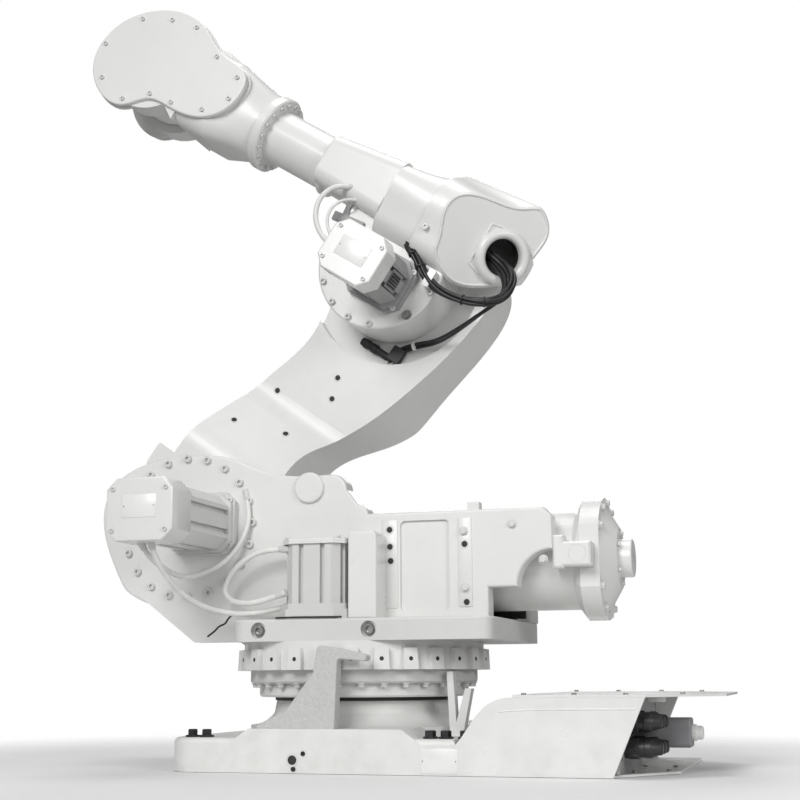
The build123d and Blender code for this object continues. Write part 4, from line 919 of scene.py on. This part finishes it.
putAt(plug, facing(upperPoint(cableLip["plugFrom"], cableLip["plugY"], cableLip["up"]), -upperAlong))
editAll(plug)
facePoint = upperPoint(nearT, nearY, cableLip["up"])
bpy.ops.mesh.bisect(plane_co=facePoint, plane_no=outOfFace, use_fill=True, clear_outer=True)
closeEdit(plug)
boreWidth = cableLip["bore"] + 0.0015
borer = turned("borer", 64, [(boreWidth, -cableLip["depth"]), (boreWidth, 0.020)])
putAt(borer, lipPlace)
makeActive(plug)
cut = plug.modifiers.new("cutBore", "BOOLEAN")
cut.operation, cut.object = "DIFFERENCE", borer
bpy.ops.object.modifier_apply(modifier=cut.name)
discard(borer)
paintPiece(plug, "paint")
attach(smoothByAngle(plug, 30), "upper_arm")
lip = turned("cable_hole_lip", 64, [
    (0.087, -0.003), (0.087, 0.010), (0.0855, 0.017), (0.081, 0.022), (0.075, 0.0255), (0.068, 0.026),
    (0.062, 0.023), (0.0575, 0.017), (0.056, 0.008), (0.056, -0.004),
])
paintPiece(lip, "paint")
editFaces(lip, lambda face: abs(face.normal.z) > 0.9 and face.area > 0.004)
bpy.ops.mesh.delete(type="ONLY_FACE")
bpy.ops.mesh.select_all(action="SELECT")
bpy.ops.object.mode_set(mode="OBJECT")
putAt(lip, lipPlace)
# The bore's inside is near black: painted shade
bore = turned("cable_hole_bore", 48, [(0.0565, 0.006), (0.0567, -0.044), (0.048, -0.048)])
editFaces(bore, lambda face: face.normal.z > 0.9 or (abs(face.normal.z) > 0.9 and face.center.z > 0))
bpy.ops.mesh.delete(type="ONLY_FACE")
bpy.ops.mesh.select_all(action="SELECT")
bpy.ops.mesh.flip_normals()
bpy.ops.object.mode_set(mode="OBJECT")
putAt(bore, lipPlace)
paintPiece(bore, "shadeAndGrime")
for piece in (lip, bore):
    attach(smoothByAngle(piece, 40), "upper_arm")
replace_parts(lip, "cable_collar")
capScrew = {"spot": (-0.087, 0.1572, 0.159), "headRadius": 0.010, "headHeight": 0.008}
screw = makeSocketScrew("capScrew", capScrew["headRadius"], capScrew["headHeight"])
useUp(screw, [facing(upperPoint(*capScrew["spot"]), leftward)], "rear_cap_screw", "upper_arm")


def makeEdgeBead(name, nodeName, direction, radius, finishName, body):
    # A bead along the longest rim of a node's flat face
    bead = reshaped(name, nodeName, (1, 1, 1), (0, 0, 0))
    editFaces(bead, lambda face: face.normal.dot(direction) > 0.999)
    bpy.ops.mesh.region_to_loop()
    bpy.ops.mesh.separate(type="SELECTED")
    bpy.ops.object.mode_set(mode="OBJECT")
    loops = [item for item in bpy.context.selected_objects if item != bead]
    discard(bead)
    makeActive(loops[0])
    bpy.ops.object.convert(target="CURVE")
    ring = bpy.context.object
    ring.data.bevel_depth = radius
    ring.data.bevel_resolution = 2
    lengths = []
    for spline in ring.data.splines:
        spots = [Vector(point.co[:3]) for point in spline.points]
        lengths.append(sum((spots[i] - spots[i - 1]).length for i in range(len(spots))))
    for index in reversed(range(len(lengths))):
        if lengths[index] < max(lengths):
            ring.data.splines.remove(ring.data.splines[index])
    bpy.ops.object.convert(target="MESH")
    ring = bpy.context.object
    ring.name = name
    paintPiece(ring, finishName)
    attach(smoothByAngle(ring, 60), body)
    return ring


makeEdgeBead("rear_cap_rim_bead", "rear_cap", outOfFace, 0.0042, "paint", "upper_arm")
print("cable hole lipped")

# Plugs on the lower arm beside the elbow: coupling rings with grips, and short pins below
armPlug = {"along": 0.750, "left": -0.0777, "from": 0.018}
ring = turned("armPlugRing", 24, [
    (0.0128, 0.0), (0.0145, 0.0015), (0.0145, 0.020), (0.0132, 0.0215), (0.0128, 0.030), (0.0100, 0.031),
])
addGrips(ring, 0.005, 0.018, 0.0006, 1.05)
smoothByAngle(paintPiece(ring, "blackPlastic"), 35)
places = [facing(lowerPoint(armPlug["along"], armPlug["left"], armPlug["from"] + 0.026), -lowerBack)]
places.append(facing(lowerPoint(armPlug["along"], armPlug["left"], 0.074), -lowerBack))
useUp(ring, places, "arm_plug_rings", "lower_arm")
pin = turned("armPin", 12, [
    (0.0042, 0.0), (0.0046, 0.001), (0.0046, 0.010), (0.0034, 0.012), (0.0030, 0.018),
])
smoothByAngle(paintPiece(pin, "bareLabel"), 40)
armPins = {"along": 0.745, "left": -0.078, "first": 0.122, "step": 0.016, "count": 3}
places = []
for index in range(armPins["count"]):
    back = armPins["first"] + armPins["step"] * index
    places.append(facing(lowerPoint(armPins["along"], armPins["left"], back), -lowerAlong))
useUp(pin, places, "arm_plug_pins", "lower_arm")


# Dark bracket beside the elbow motor, its dark grey partly painted shade of the recess there, and the
# motor's vent with slats of painted shade
def roundedBlock(name, size, edge, finishName, place, body):
    piece = block(name, size, edge)
    paintPiece(piece, finishName)
    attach(smoothByAngle(putAt(piece, place), 35), body)
    return piece


# The bracket's dark grey is partly its own colour and partly painted shade of the recess under the housing
place = upperFace(0.166, 0.100, 0.066, 6)
roundedBlock("elbow_cable_bracket", (0.108, 0.030, 0.012), 0.003, "darkGreyAndShade", place, "upper_arm")
place = upperFace(0.188, 0.098, 0.090, 8)
roundedBlock("elbow_cable_bracket_foot", (0.020, 0.060, 0.010), 0.003, "darkGreyAndShade", place, "upper_arm")
ventPlace = facing(upperPoint(-0.1180, 0.224, -0.036), -upperAlong)
vent = block("motorVent", (0.088, 0.058, 0.004), 0.0016)
shiftTop(vent, 0.001, 0.006, -0.003)
smoothByAngle(paintPiece(vent, "greyPlastic"), 30)
useUp(vent, [ventPlace], "axis_3_motor_vent", "upper_arm")
# Near-black slats on the sunk floor of the vent: painted shade in its openings
slat = block("motorSlat", (0.072, 0.0045, 0.0026), 0.0007)
paintPiece(slat, "shadeAndGrime")
places = [ventPlace @ Matrix.Translation((0, -0.0175 + 0.0088 * index, 0.0010)) for index in range(5)]
useUp(slat, places, "axis_3_motor_vent_slats", "upper_arm")
print("elbow dressed")


# A second rib round the wrist under each cover, with the cover's own outline a little larger
def makeCoverRib(name, nodeName, level, body):
    middle = upperPoint(0.950, level, 0.215)
    rib = reshaped(name, nodeName, (1.021, 0.72, 1.021), (middle.x, 0, middle.z))
    shift = level - sum(vertex.co.y for vertex in rib.data.vertices) / len(rib.data.vertices)
    editAll(rib)
    bpy.ops.transform.translate(value=(0, shift, 0))
    bpy.ops.object.mode_set(mode="OBJECT")
    paintPiece(rib, "paint")
    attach(smoothByAngle(rib, 30), body)


makeCoverRib("wrist_edge_rib_left", "wrist_cover_left", 0.133, "tube")
makeCoverRib("wrist_edge_rib_right", "wrist_cover_right", -0.133, "tube")
print("wrist dressed")

# Connector box: round couplings, latches and gland of the hood, screws, a pressed bead and a handle
couplings = {"left": (0.216, 0.280, 0.344), "height": (0.0685, 0.1325), "face": -0.8005}
body = turned("couplingBody", 28, [
    (0.0240, 0.005), (0.0240, 0.014), (0.0262, 0.016), (0.0262, 0.040), (0.0248, 0.042), (0.0225, 0.043),
    (0.0225, 0.056), (0.0240, 0.058), (0.0240, 0.072), (0.0225, 0.074), (0.0180, 0.080), (0.0160, 0.098),
    (0.0120, 0.102),
])
addGrips(body, 0.018, 0.038, 0.0009, 0.955)
paintPiece(body, "blackPlastic")
flange = block("couplingFlange", (0.058, 0.058, 0.006), 0.004)
paintPiece(flange, "greyPlastic")
screws = []
for sx in (-1, 1):
    for sy in (-1, 1):
        head = turned("couplingScrew", 10, [(0.0034, 0.0055), (0.0034, 0.0080), (0.0026, 0.0088)])
        head.location = (sx * 0.0232, sy * 0.0232, 0)
        settle(head)
        paintPiece(head, "boltSteel")
        screws.append(head)
coupling = smoothByAngle(joinPieces([body, flange] + screws, "coupling"), 35)
places = [
    facing((couplings["face"], y, z), (-1, 0, 0)) for y in couplings["left"] for z in couplings["height"]
]
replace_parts(copyTo(coupling, places, "signal_couplings", "foot"), "signal_connectors")
discard(coupling)
hoodGland = turned("hood_gland", 24, [
    (0.0210, 0.0), (0.0215, 0.002), (0.0215, 0.012), (0.0180, 0.013), (0.0180, 0.024), (0.0165, 0.028),
    (0.0120, 0.030),
])
smoothByAngle(paintPiece(hoodGland, "bareLabel"), 35)
useUp(hoodGland, [facing((-0.955, 0.130, 0.100), (-1, 0, 0))], "power_hood_gland", "foot")
latch = block("hoodLatch", (0.070, 0.014, 0.004), 0.0018)
shiftTop(latch, 0.0004, 0.003, 0.002)
smoothByAngle(paintPiece(latch, "boltSteel"), 30)
places = [facing((-0.845, 0.130, z), (0, 0, sign)) for z, sign in ((0.139, 1), (0.062, -1))]
useUp(latch, places, "power_hood_latches", "foot")
lidScrews = {"along": (-0.560, -0.690, -0.820, -0.950), "side": 0.392, "height": 0.201}
screw = makeSocketScrew("lidScrew", 0.0065, 0.005, "boltSteel")
places = []
for x in lidScrews["along"]:
    side = min(lidScrews["side"], lidScrews["side"] - 0.14 * max(0, -x - 0.871) / 0.1)
    places += [facing((x, sign * side, lidScrews["height"]), (0, 0, 1), 90 * x) for sign in (-1, 1)]
copyTo(screw, places, "box_lid_screws", "foot")
places = [facing((x, 0.300 - 0.9 * max(0, -x - 0.80), 0.006), (0, 0, 1)) for x in (-0.73, -0.82, -0.90)]
places += [facing((x, 0.05, 0.006), (0, 0, 1)) for x in (-0.82, -0.90)]
useUp(screw, places, "box_floor_screws", "foot")
strand("box_side_bead", [Vector((x, 0.4203, z)) for x, z in (
    (-0.500, 0.160), (-0.560, 0.1655), (-0.660, 0.166), (-0.770, 0.1665), (-0.845, 0.167),
)], 0.0030, "sheetPaint", "foot")
place = facing((-0.885, 0.300, 0.195), (0, 0, -1))
roundedBlock("box_lid_handle", (0.046, 0.014, 0.014), 0.004, "bareLabel", place, "foot")
print("connector box dressed")

# Foot and frame: side hole and screws, painted shade in the rib holes, the shadow gap over the neck, seams
# of painted shade, and a sheet of painted shade inside the far wall
fittings = {"face": 0.421, "hole": (0.061, 0.034), "screws": ((0.030, 0.051), (0.057, 0.011))}
hole = makeDarkHole("footHole", 0.0125)
x, z = fittings["hole"]
useUp(hole, [facing((x, fittings["face"], z), leftward)], "foot_side_hole", "foot")
screw = makeSocketScrew("footScrew", 0.0062, 0.004, "boltBlack")
places = [facing((x, fittings["face"], z), leftward) for x, z in fittings["screws"]]
useUp(screw, places, "foot_side_screws", "foot")
# Near-black discs set into the rib holes: painted shade inside them
ribHoles = {"count": 28, "reach": 0.3672, "height": 0.2970, "radius": 0.0062}
hole = turned("ribHole", 14, [(ribHoles["radius"], 0.0), (0.0060, 0.0014)])
paintPiece(hole, "shadeAndGrime")
places = []
for index in range(ribHoles["count"]):
    angle = 2 * math.pi * index / ribHoles["count"]
    out = Vector((math.cos(angle), math.sin(angle), 0))
    places.append(facing(ribHoles["reach"] * out + Vector((0, 0, ribHoles["height"])), out))
useUp(hole, places, "turntable_rib_hole_shade", "frame")
# A near-black ring under the gear ring: painted shadow in the gap over the neck
gap = turned("neck_gap_shadow_ring", 96, [(0.2560, 0.1835), (0.2600, 0.1850), (0.2610, 0.1930), (0.2600, 0.1942)])
paintPiece(gap, "shadeAndGrime")
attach(smoothByAngle(gap, 35), "foot")
# Near-black lines along the seams of the frame: painted shade in the gaps between wall and plates
seams = {
    "front": (
        (0.410, 0.366), (0.388, 0.380), (0.374, 0.396), (0.354, 0.401), (0.346, 0.418), (0.322, 0.436),
    ),
    "motor": ((0.150, 0.4105), (0.090, 0.4115), (0.020, 0.4105), (-0.044, 0.4105)),
    "left": {"front": 0.2116, "motor": 0.3300},
}
lines = []
for key, left in seams["left"].items():
    lines.append(strand("seam" + key, [Vector((x, left, z)) for x, z in seams[key]], 0.0028, "shadeAndGrime", None))
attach(joinPieces(lines, "frame_wall_seams"), "frame")
# A near-black sheet on the inner face of the far wall: painted shade where the inside of the frame lies in
# shadow below the barrel
shadeSheet = block("frame_wall_painted_shade", (0.156, 0.100, 0.0016), 0.0006)
paintPiece(shadeSheet, "shadeAndGrime")
useUp(shadeSheet, [facing((-0.380, -0.1520, 0.466), leftward)], "frame_wall_painted_shade_plate", "frame")
print("foot and frame dressed")


# Floor, lamps and camera
def makeFloor():
    deselectAll()
    bpy.ops.mesh.primitive_plane_add(size=40, location=(0, 0, -0.001))
    floor = bpy.context.object
    floor.name = "studioFloor"
    settle(floor)
    paper = Finish("studioPaper")
    across = paper.add("ShaderNodeVectorMath", {"operation": "LENGTH"}, {0: paper.place()}, output=1)
    edge = paper.add("ShaderNodeMapRange", {"interpolation_type": "SMOOTHSTEP"}, {
        0: across, 1: studio["floorFull"], 2: studio["floorGone"], 3: 1.0, 4: 0.0,
    })
    paper.set(color=tone(*studio["floorTone"]), roughness=0.9)
    paper.feed(paper.shader.inputs["Alpha"], edge)
    floor.data.materials.append(paper.material)


# Place, aim, side length in metres and power in watts
lamps = {
    "keyLamp": ((1.0, 8.2, 4.6), (0.0, 0.0, 1.1), 3.6, 455),
    "fillLamp": ((-6.0, 4.4, 2.6), (0.0, 0.0, 0.9), 2.6, 150),
    "topLamp": ((-0.4, -0.4, 8.0), (0.0, 0.0, 1.0), 3.4, 190),
    "backLamp": ((1.6, -7.6, 4.6), (0.0, 0.0, 1.1), 3.4, 210),
}


def addLamp(name, place, aim, size, power):
    lamp = bpy.data.lights.new(name, "AREA")
    lamp.shape, lamp.size, lamp.energy = "SQUARE", size, power
    holder = bpy.data.objects.new(name, lamp)
    bpy.context.collection.objects.link(holder)
    holder.location = place
    holder.rotation_euler = (Vector(aim) - Vector(place)).to_track_quat("-Z", "Y").to_euler()


def makeCamera():
    turn, rise, roll = (math.radians(studio[key]) for key in ("cameraTurn", "cameraRise", "cameraRoll"))
    forward = Vector((math.sin(turn) * math.cos(rise), -math.cos(turn) * math.cos(rise), math.sin(rise)))
    right = Vector((-math.cos(turn), -math.sin(turn), 0))
    up = right.cross(forward)
    rolledRight = math.cos(roll) * right + math.sin(roll) * up
    rolledUp = math.cos(roll) * up - math.sin(roll) * right
    lens = bpy.data.cameras.new("studioCamera")
    lens.lens, lens.sensor_width = studio["lens"], 36.0
    camera = bpy.data.objects.new("studioCamera", lens)
    bpy.context.collection.objects.link(camera)
    frameTurn = Matrix((rolledRight, rolledUp, -forward)).transposed().to_4x4()
    camera.matrix_world = Matrix.Translation(Vector(studio["cameraPlace"])) @ frameTurn
    bpy.context.scene.camera = camera


def makeWorld():  # soft even light on the object, and a brighter paper backdrop behind it
    world = bpy.data.worlds.new("studioWorld")
    world.use_nodes = True
    tree = world.node_tree
    backdrop = tree.nodes["Background"]
    sight = tree.nodes.new("ShaderNodeLightPath")
    level = tree.nodes.new("ShaderNodeMapRange")
    level.inputs[3].default_value = studio["skyStrength"]
    level.inputs[4].default_value = studio["backdropStrength"]
    tree.links.new(sight.outputs["Is Camera Ray"], level.inputs[0])
    tree.links.new(level.outputs[0], backdrop.inputs[1])
    backdrop.inputs[0].default_value = tone(1, 1, 1)
    bpy.context.scene.world = world


makeFloor()
makeCamera()
makeWorld()
for name, (place, aim, size, power) in lamps.items():
    addLamp(name, place, aim, size, power)
bpy.context.scene.view_settings.view_transform = "Standard"
print("studio ready")
